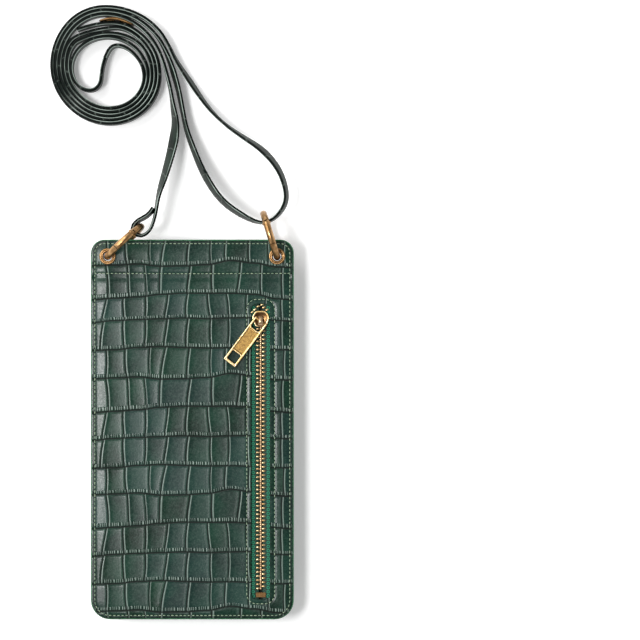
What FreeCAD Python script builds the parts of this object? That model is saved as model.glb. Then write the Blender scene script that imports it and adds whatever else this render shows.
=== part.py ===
"""Flat phone pouch with a zip pocket, a phone pocket closed by a snap tab, and a coiled strap.

The pouch lies on its phone pocket with the zip side up. X runs across the board, Y along it towards
the strap rings, Z up from the floor. The origin is under the middle of the pouch and its rings.
"""
import math
import os

import FreeCAD
import Part
import Sketcher

V = FreeCAD.Vector
UP = V(0, 0, 1)

doc = FreeCAD.newDocument("phone_pouch")
sheet = doc.addObject("Spreadsheet::Sheet", "Sizes")
SIZES = [
    # board
    ("board_width", 105.0), ("board_length", 196.5), ("top_corner", 7.0), ("bottom_corner", 10.0),
    ("panel", 1.2), ("inner_layer", 2.6), ("pocket_depth", 15.5), ("reinforced_length", 20.25),
    ("hem", 4.5), ("lining_sheet", 0.4),
    # eyelets
    ("eyelet_inset", 8.7), ("eyelet_hole", 5.7), ("barrel_diameter", 5.4), ("eyelet_bore", 4.8),
    ("eyelet_flange", 8.5), ("eyelet_crest", 6.6), ("eyelet_rise", 0.8), ("washer_thickness", 0.8),
    ("barrel_tail", 0.2),
    # zip
    ("zip_inset", 17.1), ("window_top_margin", 33.15), ("window_low_margin", 10.35), ("window_width", 10.0),
    ("window_corner", 3.0), ("tape_inner", 0.9), ("tape_outer", 12.0), ("tape_thickness", 0.5),
    ("tape_excess", 1.5), ("tooth_pitch", 2.13), ("tooth_start", 0.35), ("tooth_end", 2.45),
    ("tooth_width", 1.05), ("tooth_height", 1.7), ("stop_length", 2.4), ("stop_margin", 1.2),
    ("slot_clearance", 0.2),
    # slider and pull
    ("slider_drop", 7.9), ("slider_width", 8.9), ("slider_length", 8.3),
    ("channel_half", 1.0), ("sole_thickness", 0.6), ("roof_thickness", 0.8), ("web_width", 0.4),
    ("web_length", 3.0), ("rim_width", 1.1), ("rim_drop", 0.45),
    ("crown_width", 2.2), ("crown_length", 5.6), ("crown_height", 2.65), ("crown_leg", 1.0),
    ("crown_top", 0.95), ("crown_round", 0.7), ("bar_diameter", 1.2), ("bar_height", 0.9),
    ("pull_length", 25.7), ("pull_width", 7.4), ("pull_thickness", 1.5), ("pull_angle", 36.9),
    ("fork_width", 5.5), ("fork_length", 5.25), ("pull_window", 5.2), ("pull_border", 1.1),
    ("panel_start", 6.6), ("panel_recess", 0.3), ("pull_corner", 1.4),
    # phone pocket
    ("pocket_inset", 3.25), ("leather", 1.3), ("flange_inset", 0.3), ("shoulder_inset", 54.75),
    ("mouth_drop", 9.5), ("shoulder_width", 5.35), ("mouth_slant", 4.7), ("fold_inset", 6.95),
    ("foot_inset", 2.35), ("shoulder_depth", 9.7), ("fold_radius", 4.0), ("corner_across", 7.0),
    ("corner_along", 8.3),
    # closure tab and snap
    ("tab_width", 24.0), ("tab_thickness", 1.8), ("tab_inset", 24.75), ("tab_overlap", 32.0), ("bend_lead", 2.5),
    ("bend_radius", 22.0), ("tab_corner", 3.6), ("root_length", 11.4), ("root_drop", 0.2),
    ("tab_axis_drop", 1.3), ("slit_clearance", 0.3), ("snap_inset", 11.5), ("snap_gap", 1.1),
    ("cap_diameter", 10.8), ("cap_rise", 1.45), ("cap_rim", 0.5), ("post_diameter", 2.8),
    ("socket_diameter", 8.4), ("socket_bore", 4.2), ("socket_thickness", 0.6), ("stud_diameter", 8.4),
    ("stud_flange", 0.3), ("knob_diameter", 3.4), ("knob_height", 0.7), ("rivet_diameter", 8.0),
    ("rivet_thickness", 0.6),
    # rings
    ("ring_radius", 11.7), ("wire", 3.5), ("ring_offset", 0.24), ("ring_left_angle", 48.0),
    ("ring_right_angle", 17.5), ("pivot_angle", 58.0), ("gate_angle", 57.0), ("gate_gap", 0.3),
    ("tongue", 1.4), ("fork_slot", 1.7), ("pin_diameter", 1.1), ("pin_play", 0.1), ("pin_length", 4.4),
    # strap
    ("strap_width", 9.5), ("strap_thickness", 1.4), ("coil_gap", 0.6), ("coil_shift", 6.8),
    ("coil_rise", 91.35), ("coil_half_width", 28.0), ("coil_half_height", 30.4),
    ("adjuster_thickness", 1.9), ("adjuster_height", 11.5), ("adjuster_window", 5.6),
    ("adjuster_sill", 2.2), ("adjuster_border", 1.9),
]
for row, (alias, number) in enumerate(SIZES, start=1):
    sheet.set("A%d" % row, alias)
    sheet.set("B%d" % row, str(number))
    sheet.setAlias("B%d" % row, alias)
doc.recompute()


class Sheet:
    """Reads a size from the sheet by its alias."""

    def __getattr__(self, alias):
        return float(sheet.get(alias))


S = Sheet()
pieces = []

# Levels of the layers, from the floor up.
back_z = S.pocket_depth
inner_z = back_z + S.panel
front_z = inner_z + S.inner_layer
top_z = front_z + S.panel
half_length = S.board_length / 2
half_width = S.board_width / 2
eyelet_x = half_width - S.eyelet_inset
eyelet_y = half_length - S.eyelet_inset
ring_z = (back_z + top_z) / 2
zip_x = half_width - S.zip_inset
window_top = half_length - S.window_top_margin
window_low = S.window_low_margin - half_length
slider_y = window_top - S.slider_drop
shoulder_y = half_length - S.shoulder_inset
mouth_y = shoulder_y - S.mouth_drop
fold_y = S.fold_inset - half_length
foot_y = S.foot_inset - half_length
pocket_half = half_width - S.pocket_inset
mouth_top_half = pocket_half - S.shoulder_width
mouth_half = mouth_top_half - S.mouth_slant
tab_y = half_length - S.tab_inset
tab_end_y = mouth_y - S.tab_overlap
bend_y = mouth_y + S.bend_lead
snap_y = tab_end_y + S.snap_inset
coil_x = S.coil_shift - half_width
coil_y = half_length + S.coil_rise
wire_radius = S.wire / 2


def direction(degrees):
    """Unit vector in the floor plane, counted from +X towards +Y."""
    return V(math.cos(math.radians(degrees)), math.sin(math.radians(degrees)), 0)


UPRIGHT = 90.0
lean = {"left": direction(UPRIGHT - S.ring_left_angle), "right": direction(UPRIGHT + S.ring_right_angle)}
eyelet = {"left": V(-eyelet_x, eyelet_y, ring_z), "right": V(eyelet_x, eyelet_y, ring_z)}
ring_centre = {side: eyelet[side] + lean[side] * (S.ring_radius - S.ring_offset) for side in lean}
ring_tip = {side: ring_centre[side] + lean[side] * S.ring_radius for side in lean}

# The board is moved down so that the origin is under the middle of pouch and rings together.
reach = max(ring_tip[side].y + wire_radius for side in ring_tip)
row = len(SIZES) + 1
sheet.set("A%d" % row, "board_y")
sheet.set("B%d" % row, str((half_length - reach) / 2))
sheet.setAlias("B%d" % row, "board_y")
doc.recompute()


def keep(piece, label, z=None):
    """Names a finished piece and moves it from the board's frame to the row's frame."""
    piece.Label = label
    piece.setExpression("Placement.Base.y", "Sizes.board_y")
    if z is not None:
        piece.setExpression("Placement.Base.z", z)
    pieces.append(piece)
    return piece


def bind(thing, **expressions):
    for name, expression in expressions.items():
        thing.setExpression(name, expression)
    return thing


def place(thing, x="0", y="0", z="0"):
    for axis, expression in (("x", x), ("y", y), ("z", z)):
        thing.setExpression("Placement.Base." + axis, expression)
    return thing


def box(name, length, width, height, x="0", y="0", z="0"):
    """Box centred on x and y, standing on z."""
    solid = bind(doc.addObject("Part::Box", name), Length=length, Width=width, Height=height)
    return place(solid, "%s - (%s) / 2" % (x, length), "%s - (%s) / 2" % (y, width), z)


def cylinder(name, diameter, height, x="0", y="0", z="0"):
    solid = bind(doc.addObject("Part::Cylinder", name), Radius="(%s) / 2" % diameter, Height=height)
    return place(solid, x, y, z)


def cut(name, base, tool):
    result = doc.addObject("Part::Cut", name)
    result.Base, result.Tool = base, tool
    return result


def fuse(name, *solids):
    result = doc.addObject("Part::MultiFuse", name)
    result.Shapes = list(solids)
    return result


def common(name, base, tool):
    result = doc.addObject("Part::Common", name)
    result.Base, result.Tool = base, tool
    return result


def shaped(name, shape):
    """Piece that no sketch or primitive fits: its shape is worked out from the sheet."""
    piece = doc.addObject("Part::Feature", name)
    piece.Shape = shape
    return piece


def amount(expression):
    return float(sheet.evalExpression(expression))


def new_sketch(body, name, role="XY_Plane", x="0", y="0", z="0"):
    """Sketch on one of the body's own planes, with its origin moved to x, y, z."""
    sketch = body.newObject("Sketcher::SketchObject", name)
    plane = next(item for item in body.Origin.OriginFeatures if item.Role == role)
    sketch.AttachmentSupport = [(plane, "")]
    sketch.MapMode = "FlatFace"
    for axis, expression in (("x", x), ("y", y), ("z", z)):
        sketch.setExpression("AttachmentOffset.Base." + axis, expression)
    return sketch


def rectangle(sketch, wide, tall):
    """Rectangle centred on the sketch's origin."""
    x, y = amount(wide) / 2, amount(tall) / 2
    corners = [V(-x, -y, 0), V(x, -y, 0), V(x, y, 0), V(-x, y, 0)]
    for i in range(4):
        sketch.addGeometry(Part.LineSegment(corners[i], corners[(i + 1) % 4]), False)
    for i in range(4):
        sketch.addConstraint(Sketcher.Constraint("Coincident", i, 2, (i + 1) % 4, 1))
    for i in (0, 2):
        sketch.addConstraint(Sketcher.Constraint("Horizontal", i))
        sketch.addConstraint(Sketcher.Constraint("Vertical", i + 1))
    sketch.addConstraint(Sketcher.Constraint("Symmetric", 0, 1, 2, 1, -1, 1))
    across = sketch.addConstraint(Sketcher.Constraint("DistanceX", 0, 1, 0, 2, x + x))
    along = sketch.addConstraint(Sketcher.Constraint("DistanceY", 1, 1, 1, 2, y + y))
    sketch.setExpression("Constraints[%d]" % across, wide)
    sketch.setExpression("Constraints[%d]" % along, tall)
    return sketch


def circle(sketch, diameter):
    sketch.addGeometry(Part.Circle(V(0, 0, 0), UP, amount(diameter) / 2), False)
    sketch.addConstraint(Sketcher.Constraint("Coincident", 0, 3, -1, 1))
    size = sketch.addConstraint(Sketcher.Constraint("Radius", 0, amount(diameter) / 2))
    sketch.setExpression("Constraints[%d]" % size, "(%s) / 2" % diameter)
    return sketch


def pad(body, name, sketch, length):
    feature = body.newObject("PartDesign::Pad", name)
    feature.Profile = sketch
    feature.setExpression("Length", length)
    return feature


def pocket(body, name, sketch, depth=None, midplane=False):
    """Cuts upwards from the sketch, through all or to a depth, and proves that it cut."""
    doc.recompute()
    before = body.Shape.Volume
    feature = body.newObject("PartDesign::Pocket", name)
    feature.Profile = sketch
    feature.Reversed = True
    if depth is None:
        feature.Type = "ThroughAll"
        feature.Midplane = midplane
    else:
        feature.setExpression("Length", depth)
    doc.recompute()
    if not body.Shape.Volume < before:
        raise RuntimeError(name + " cut nothing")
    return feature


def upright_edges(shape, keep_edge=lambda middle: True):
    """Names of the edges that run along Z and whose middle passes the test."""
    names = []
    for number, edge in enumerate(shape.Edges, start=1):
        first, last = edge.Vertexes[0].Point, edge.Vertexes[-1].Point
        along = last - first
        if along.Length and abs(along.normalize().z) > SQUARE_SHARE and keep_edge((first + last) * HALF_SHARE):
            names.append("Edge%d" % number)
    return names


SQUARE_SHARE = 0.999
HALF_SHARE = 0.5


def round_corners(body, base, radius, keep_edge=lambda middle: True):
    doc.recompute()
    names = upright_edges(base.Shape, keep_edge)
    feature = body.newObject("PartDesign::Fillet", base.Name + "_round")
    feature.Base = (base, names)
    feature.setExpression("Radius", radius)
    doc.recompute()
    return feature


def board_layer(label, thickness, level, low="-Sizes.board_length / 2", high="Sizes.board_length / 2"):
    """Layer of the board with the board's outline between two heights on Y."""
    body = doc.addObject("PartDesign::Body", label)
    sketch = new_sketch(body, label + "_outline", y="((%s) + (%s)) / 2" % (low, high))
    rectangle(sketch, "Sizes.board_width", "(%s) - (%s)" % (high, low))
    layer = pad(body, label + "_layer", sketch, thickness)
    doc.recompute()
    middle = layer.Shape.BoundBox.Center.y
    if amount(high) >= half_length:
        layer = round_corners(body, layer, "Sizes.top_corner", lambda point: point.y > middle)
    if amount(low) <= -half_length:
        sharp = layer.Shape.BoundBox.YMin
        layer = round_corners(body, layer, "Sizes.bottom_corner", lambda point: point.y <= sharp + S.panel)
    return keep(body, label, level)


def eyelet_holes(body):
    for side, sign in (("left", "-"), ("right", "")):
        sketch = new_sketch(body, body.Name + "_hole_" + side,
                            x=sign + "(Sizes.board_width / 2 - Sizes.eyelet_inset)",
                            y="Sizes.board_length / 2 - Sizes.eyelet_inset")
        pocket(body, body.Name + "_cut_" + side, circle(sketch, "Sizes.eyelet_hole"))


def rectangular_cut(body, name, wide, tall, x, y, z="0", depth=None):
    sketch = rectangle(new_sketch(body, name + "_sketch", x=x, y=y, z=z), wide, tall)
    return pocket(body, name, sketch, depth)


INNER_Z = "Sizes.pocket_depth + Sizes.panel"
FRONT_Z = INNER_Z + " + Sizes.inner_layer"
TOP_Z = FRONT_Z + " + Sizes.panel"
ZIP_X = "(Sizes.board_width / 2 - Sizes.zip_inset)"
ZIP_Y = "((Sizes.window_low_margin - Sizes.window_top_margin) / 2)"
WINDOW_LONG = "(Sizes.board_length - Sizes.window_top_margin - Sizes.window_low_margin)"
SLIDER_Y = "(Sizes.board_length / 2 - Sizes.window_top_margin - Sizes.slider_drop)"
TAB_Y = "(Sizes.board_length / 2 - Sizes.tab_inset)"
SEAM_Y = "Sizes.board_length / 2 - Sizes.reinforced_length"

# The four layers of the board.
zip_panel = board_layer("zip_panel", "Sizes.panel", FRONT_Z)
window = rectangular_cut(zip_panel, "zip_window", "Sizes.window_width", WINDOW_LONG, ZIP_X, ZIP_Y)
round_corners(zip_panel, window, "Sizes.window_corner",
              lambda point: abs(point.x - zip_x) < S.window_width)
eyelet_holes(zip_panel)

pocket_panel = board_layer("pocket_panel", "Sizes.panel", "Sizes.pocket_depth")
rectangular_cut(pocket_panel, "tab_slit", "Sizes.tab_width + 2 * Sizes.slit_clearance",
                "Sizes.tab_thickness + 2 * Sizes.slit_clearance", "0", TAB_Y)
eyelet_holes(pocket_panel)

ROOT_WIDE = "Sizes.tab_width + 2 * Sizes.slit_clearance"
ROOT_DEEP = "Sizes.tab_thickness + Sizes.slit_clearance / 2"
ROOT_LONG = "Sizes.root_length + 2 * Sizes.slit_clearance"
ROOT_Y = TAB_Y + " - Sizes.tab_thickness / 2 + Sizes.root_length / 2"
top_reinforcement = board_layer("top_reinforcement", "Sizes.inner_layer", INNER_Z, low=SEAM_Y)
rectangular_cut(top_reinforcement, "root_recess", ROOT_WIDE, ROOT_LONG, "0", ROOT_Y, depth=ROOT_DEEP)
eyelet_holes(top_reinforcement)

zip_pocket_lining = board_layer("zip_pocket_lining", "Sizes.inner_layer", INNER_Z, high=SEAM_Y)
LINING_LONG = "Sizes.board_length - Sizes.reinforced_length - 2 * Sizes.hem"
rectangular_cut(zip_pocket_lining, "front_opening", "2 * Sizes.tape_outer + 2 * Sizes.slot_clearance",
                WINDOW_LONG + " + 2 * Sizes.tape_excess + 2 * Sizes.slot_clearance", ZIP_X, ZIP_Y,
                "Sizes.lining_sheet")
rectangular_cut(zip_pocket_lining, "pocket_space", "Sizes.board_width - 2 * Sizes.hem", LINING_LONG, "0",
                "-Sizes.reinforced_length / 2", "Sizes.lining_sheet",
                "Sizes.inner_layer - 2 * Sizes.lining_sheet")
rectangular_cut(zip_pocket_lining, "root_notch", ROOT_WIDE, ROOT_LONG, "0", ROOT_Y, depth=ROOT_DEEP)

# Eyelets: domed flange on the zip side, barrel through the board, washer on the phone side.
for side, sign in (("left", "-"), ("right", "")):
    x = sign + "(Sizes.board_width / 2 - Sizes.eyelet_inset)"
    y = "Sizes.board_length / 2 - Sizes.eyelet_inset"
    low = "Sizes.pocket_depth - Sizes.washer_thickness"
    high = "(%s - (%s) + Sizes.barrel_tail + Sizes.eyelet_rise)" % (TOP_Z, low)
    dome = doc.addObject("Part::Cone", "dome_" + side)
    bind(dome, Radius1="Sizes.eyelet_flange / 2", Radius2="Sizes.eyelet_crest / 2", Height="Sizes.eyelet_rise")
    place(dome, x, y, TOP_Z)
    barrel = cylinder("barrel_" + side, "Sizes.barrel_diameter", high, x, y, low + " - Sizes.barrel_tail")
    bore = cylinder("bore_" + side, "Sizes.eyelet_bore", high, x, y, low + " - Sizes.barrel_tail")
    keep(cut("eyelet_" + side, fuse("eyelet_blank_" + side, dome, barrel), bore), "eyelet_" + side)
    disc = cylinder("washer_disc_" + side, "Sizes.eyelet_flange", "Sizes.washer_thickness", x, y, low)
    hole = cylinder("washer_hole_" + side, "Sizes.barrel_diameter", "Sizes.washer_thickness", x, y, low)
    keep(cut("eyelet_washer_" + side, disc, hole), "eyelet_washer_" + side)

# Zip tapes hang under the zip panel; the teeth grip their inner edges.
TAPE_Z = FRONT_Z + " - Sizes.tape_thickness"
for side, sign in (("left", "-"), ("right", "+")):
    long = "(%s + 2 * Sizes.tape_excess)" % WINDOW_LONG
    tape = box("zip_tape_" + side, "Sizes.tape_outer - Sizes.tape_inner", long, "Sizes.tape_thickness",
               "%s %s (Sizes.tape_inner + Sizes.tape_outer) / 2" % (ZIP_X, sign), ZIP_Y, TAPE_Z)
    keep(tape, "zip_tape_" + side)
    tape.setExpression("Placement.Base.y", "Sizes.board_y + %s - %s / 2" % (ZIP_Y, long))

chain_z = front_z - S.tape_thickness / 2
teeth_low = window_low + S.stop_margin + S.stop_length + S.tooth_pitch
teeth_high = window_top - S.stop_margin - S.stop_length - S.tooth_pitch


def tooth(sign, y, length, start, end):
    """One block astride the tape's inner edge."""
    x = zip_x + start if sign > 0 else zip_x - end
    block = Part.makeBox(end - start, length, S.tooth_height, V(x, y - length / 2, chain_z - S.tooth_height / 2))
    x = zip_x + S.tape_inner if sign > 0 else zip_x - S.tape_outer
    slot = Part.makeBox(S.tape_outer - S.tape_inner, length, S.tape_thickness,
                        V(x, y - length / 2, chain_z - S.tape_thickness / 2))
    return block.cut(slot)


tooth_count = int((teeth_high - teeth_low) / S.tooth_pitch)
for side, sign, lag in (("left", -1, 0), ("right", 1, S.tooth_pitch / 2)):
    row_of_teeth = [tooth(sign, teeth_low + lag + i * S.tooth_pitch, S.tooth_width, S.tooth_start, S.tooth_end)
                    for i in range(tooth_count)]
    keep(shaped("zip_teeth_" + side, Part.makeCompound(row_of_teeth)), "zip_teeth_" + side)
stop_y = window_top - S.stop_margin - S.stop_length / 2
keep(shaped("zip_top_stops", Part.makeCompound([tooth(sign, stop_y, S.stop_length, S.tooth_start, S.tooth_end)
                                                for sign in (-1, 1)])), "zip_top_stops")
stop_y = window_low + S.stop_margin + S.stop_length / 2
both = [tooth(sign, stop_y, S.stop_length, 0, S.tooth_end) for sign in (-1, 1)]
keep(shaped("zip_bottom_stop", both[0].fuse(both[1]).removeSplitter()), "zip_bottom_stop")

# Slider: sole and roof joined by a web between the two rows of teeth, with rims along the roof.
slider = doc.addObject("PartDesign::Body", "zip_slider")
SOLE_Z = FRONT_Z + " - Sizes.tape_thickness / 2 - Sizes.channel_half - Sizes.sole_thickness"


def slider_plate(name, level, thickness):
    sketch = rectangle(new_sketch(slider, name + "_sketch", x=ZIP_X, y=SLIDER_Y, z=level),
                       "Sizes.slider_width", "Sizes.slider_length")
    return pad(slider, name, sketch, thickness)


slider_plate("sole", "0", "Sizes.sole_thickness")
doc.recompute()
web = rectangle(new_sketch(slider, "web_sketch", x=ZIP_X,
                           y=SLIDER_Y + " + Sizes.slider_length / 2 - Sizes.web_length / 2",
                           z="Sizes.sole_thickness"), "Sizes.web_width", "Sizes.web_length")
pad(slider, "web", web, "2 * Sizes.channel_half")
doc.recompute()
ROOF_Z = "Sizes.sole_thickness + 2 * Sizes.channel_half"
roof = slider_plate("roof", ROOF_Z, "Sizes.roof_thickness")
for side, sign in (("left", "-"), ("right", "+")):
    doc.recompute()
    rim = new_sketch(slider, "rim_sketch_" + side, y=SLIDER_Y, z=ROOF_Z + " - Sizes.rim_drop",
                     x="%s %s (Sizes.slider_width - Sizes.rim_width) / 2" % (ZIP_X, sign))
    roof = pad(slider, "rim_" + side, rectangle(rim, "Sizes.rim_width", "Sizes.slider_length"),
               "Sizes.rim_drop")
doc.recompute()
chamfer = slider.newObject("PartDesign::Chamfer", "slider_nose")
chamfer.Base = (roof, upright_edges(roof.Shape, lambda point: abs(point.x - zip_x) > S.slider_width / 2
                                    - S.web_width))
chamfer.setExpression("Size", "Sizes.rim_width - Sizes.web_width")
keep(slider, "zip_slider", SOLE_Z)

crown = doc.addObject("PartDesign::Body", "zip_slider_crown")
block = rectangle(new_sketch(crown, "crown_sketch", x=ZIP_X, y=SLIDER_Y + " - Sizes.bar_diameter"),
                  "Sizes.crown_width", "Sizes.crown_length")
crown_pad = pad(crown, "crown_block", block, "Sizes.crown_height")
doc.recompute()
ridge = [name for name in ("Edge%d" % (i + 1) for i in range(len(crown_pad.Shape.Edges)))
         if abs(crown_pad.Shape.getElement(name).CenterOfMass.z - S.crown_height) < S.web_width
         and abs(crown_pad.Shape.getElement(name).Vertexes[0].Point.y
                 - crown_pad.Shape.getElement(name).Vertexes[1].Point.y) < S.web_width]
arch = crown.newObject("PartDesign::Fillet", "crown_arch")
arch.Base = (crown_pad, ridge)
arch.setExpression("Radius", "Sizes.crown_round")
doc.recompute()
eye = rectangle(new_sketch(crown, "crown_eye_sketch", "YZ_Plane", x=SLIDER_Y + " - Sizes.bar_diameter",
                           y="(Sizes.crown_height - Sizes.crown_top) / 2"),
                "Sizes.crown_length - 2 * Sizes.crown_leg", "Sizes.crown_height - Sizes.crown_top")
pocket(crown, "crown_eye", eye)
CROWN_Z = SOLE_Z + " + " + ROOF_Z + " + Sizes.roof_thickness"
keep(crown, "zip_slider_crown", CROWN_Z)

# Pull tab: forked plate on a bar under the crown, with a square window at its free end.
pull = doc.addObject("PartDesign::Body", "pull_plate")
plate = rectangle(new_sketch(pull, "pull_sketch", x="Sizes.pull_length / 2 - Sizes.pull_thickness / 2",
                             z="-Sizes.pull_thickness / 2"), "Sizes.pull_length", "Sizes.pull_width")
plate_pad = pad(pull, "pull_pad", plate, "Sizes.pull_thickness")
round_corners(pull, plate_pad, "Sizes.pull_corner", lambda point: point.x > S.pull_length / 2)
rectangular_cut(pull, "pull_fork", "2 * Sizes.fork_length", "Sizes.fork_width", "0", "0",
                "-Sizes.pull_thickness / 2")
rectangular_cut(pull, "pull_eye", "Sizes.pull_window", "Sizes.pull_window",
                "Sizes.pull_length - Sizes.pull_thickness / 2 - Sizes.pull_border - Sizes.pull_window / 2", "0",
                "-Sizes.pull_thickness / 2")
PANEL_END = "(Sizes.pull_length - Sizes.pull_thickness / 2 - 2 * Sizes.pull_border - Sizes.pull_window)"
panel_cut = rectangular_cut(pull, "pull_panel", PANEL_END + " - Sizes.panel_start",
                            "Sizes.pull_width - 2 * Sizes.pull_border",
                            "(%s + Sizes.panel_start) / 2" % PANEL_END, "0",
                            "Sizes.pull_thickness / 2 - Sizes.panel_recess", "Sizes.panel_recess")
doc.recompute()
ends = []
for number, edge in enumerate(panel_cut.Shape.Edges, start=1):
    middle = edge.CenterOfMass
    if abs(middle.x + S.pull_thickness / 2) < S.web_width / 2 and abs(middle.z) > S.pull_thickness / 4:
        ends.append("Edge%d" % number)
tips = pull.newObject("PartDesign::Fillet", "fork_tips")
tips.Base = (panel_cut, ends)
tips.setExpression("Radius", "Sizes.pull_thickness / 2 - Sizes.web_width / 8")
bar = cylinder("pull_bar", "Sizes.bar_diameter", "Sizes.fork_width + Sizes.web_width")
bar.Placement = FreeCAD.Placement(V(0, -(S.fork_width + S.web_width) / 2, 0), FreeCAD.Rotation(V(1, 0, 0), -UPRIGHT))
for axis in "xyz":
    bar.setExpression("Placement.Base." + axis, None)
bar.setExpression("Placement.Base.y", "-(Sizes.fork_width + Sizes.web_width) / 2")
pull_piece = fuse("zip_pull", pull, bar)
crown_base = amount(CROWN_Z)
pull_pivot = V(zip_x, slider_y - S.bar_diameter, crown_base + S.bar_height)
pull_piece.Placement = FreeCAD.Placement(pull_pivot, FreeCAD.Rotation(UP, -UPRIGHT - S.pull_angle))
pull_piece.setExpression("Placement.Base.y", "Sizes.board_y + %s - Sizes.bar_diameter" % SLIDER_Y)
pull_piece.Label = "zip_pull"
pieces.append(pull_piece)

# Phone pocket: a tapering tray of folded leather, open towards the rings.
slope = (S.pocket_depth - S.shoulder_depth) / (shoulder_y - fold_y)


def face_z(y):
    """Outer face of the pocket at y, let down so that its rounded fold touches the floor."""
    return (y - fold_y) * slope - settle[-1]


settle = [0.0]


def tray(inset, radius, overrun):
    """Solid between the board and the pocket's folded leather, inset from its outside."""
    half = pocket_half - inset
    up = back_z + overrun
    high = shoulder_y + overrun
    fold = fold_y + inset
    fold_z = face_z(fold) + inset
    foot = fold + (foot_y - fold_y) * (up - fold_z) / back_z
    profile = Part.makePolygon([V(-half, high, up), V(-half, high, face_z(high) + inset),
                                V(-half, fold, fold_z), V(-half, foot, up), V(-half, high, up)])
    solid = Part.Face(profile).extrude(V(half + half, 0, 0))
    corner_y = foot_y + inset
    for sign in (-1, 1):
        corner = [V(sign * (half - 2 * S.corner_across), corner_y - S.corner_along, -back_z),
                  V(sign * (half + S.corner_across), corner_y + 2 * S.corner_along, -back_z),
                  V(sign * (half + S.corner_across), corner_y - S.corner_along, -back_z)]
        solid = solid.cut(Part.Face(Part.makePolygon(corner + corner[:1])).extrude(V(0, 0, 4 * back_z)))
    folds = []
    for edge in solid.Edges:
        middle = edge.CenterOfMass
        low = all(abs(point.Point.z - face_z(point.Point.y) - inset) < S.web_width for point in edge.Vertexes)
        if low and middle.y < high - S.panel:
            folds.append(edge)
    return solid.makeFillet(radius, folds)


hull = Part.makeBox(S.board_width - 2 * S.flange_inset, shoulder_y + half_length - S.flange_inset, S.leather,
                    V(-half_width + S.flange_inset, -half_length + S.flange_inset, back_z - S.leather))
low_corners = [edge for edge in hull.Edges if edge.CenterOfMass.y < fold_y
               and abs(edge.CenterOfMass.z - back_z + S.leather / 2) < S.web_width
               and edge.Length < S.leather + S.web_width]
flange = hull.makeFillet(S.bottom_corner - S.flange_inset, low_corners)
settle.append(tray(0, S.fold_radius, 0).optimalBoundingBox().ZMin)
inside = tray(S.leather, S.fold_radius - S.leather, S.pocket_depth)
outside = tray(0, S.fold_radius, 0)
mouth = Part.Face(Part.makePolygon([
    V(-mouth_half, mouth_y, -back_z), V(mouth_half, mouth_y, -back_z),
    V(mouth_top_half, shoulder_y, -back_z), V(mouth_top_half, shoulder_y + mouth_y, -back_z),
    V(-mouth_top_half, shoulder_y + mouth_y, -back_z), V(-mouth_top_half, shoulder_y, -back_z),
    V(-mouth_half, mouth_y, -back_z)])).extrude(V(0, 0, back_z + back_z - S.leather))
shell = outside.fuse(flange).cut(inside).cut(mouth)
front_tilt = math.degrees(math.atan(slope))
normal = V(0, math.sin(math.radians(front_tilt)), -math.cos(math.radians(front_tilt)))
snap_face = V(0, snap_y, face_z(snap_y))


def disc(diameter, start, end):
    """Round plate on the snap's axis, between two distances out from the pocket's face."""
    return Part.makeCylinder(diameter / 2, end - start, snap_face + normal * start, normal)


shell = shell.cut(disc(S.post_diameter, -2 * S.leather, S.leather))
keep(shaped("phone_pocket", shell.removeSplitter()), "phone_pocket")
base = disc(S.rivet_diameter, -S.leather - S.rivet_thickness, -S.leather).fuse(
    disc(S.post_diameter, -S.leather, 0)).removeSplitter()
keep(shaped("snap_stud_base", base), "snap_stud_base")
stud = disc(S.stud_diameter, 0, S.stud_flange).fuse(
    disc(S.knob_diameter, S.stud_flange, S.stud_flange + S.knob_height)).removeSplitter()
keep(shaped("snap_stud", stud), "snap_stud")

# Closure tab: its root is sewn inside the board, the rest swings about the slit and hangs over the mouth.
root = box("root_leaf", "Sizes.tab_width", "Sizes.root_length", "Sizes.tab_thickness", "0", ROOT_Y, INNER_Z)
neck = box("root_neck", "Sizes.tab_width", "Sizes.tab_thickness", "Sizes.panel + Sizes.root_drop", "0", TAB_Y,
           "Sizes.pocket_depth - Sizes.root_drop")
keep(fuse("tab_root", root, neck), "tab_root")

half_tab = S.tab_thickness / 2
tab_axis = V(0, tab_y, back_z - S.tab_axis_drop)
offset = S.snap_gap + half_tab
tab_low = V(0, tab_end_y, face_z(tab_end_y)) + normal * offset
tab_bend = V(0, bend_y, face_z(bend_y)) + normal * offset


def thick_line(points, radius, half):
    """Closed outline, in the plane across X, of a bent strip with one rounded end at its first point."""
    first, bend, last = points
    out, back = (first - bend).normalize(), (last - bend).normalize()
    turn = math.pi - out.getAngle(back)
    reach_back = radius * math.tan(turn / 2)
    side_a, side_b = V(1, 0, 0).cross(out), V(1, 0, 0).cross(-back)
    near, far = bend + out * reach_back, bend + back * reach_back
    centre = near + side_a * radius
    bisector = (bend - centre).normalize()
    edges = [Part.Arc(first + side_a * half, first + out * half, first - side_a * half),
             Part.LineSegment(first - side_a * half, near - side_a * half),
             Part.Arc(near - side_a * half, centre + bisector * (radius + half), far - side_b * half),
             Part.LineSegment(far - side_b * half, last - side_b * half),
             Part.LineSegment(last - side_b * half, last + side_b * half),
             Part.LineSegment(last + side_b * half, far + side_b * half),
             Part.Arc(far + side_b * half, centre + bisector * (radius - half), near + side_a * half),
             Part.LineSegment(near + side_a * half, first + side_a * half)]
    return Part.Wire([edge.toShape() for edge in edges])


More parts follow.
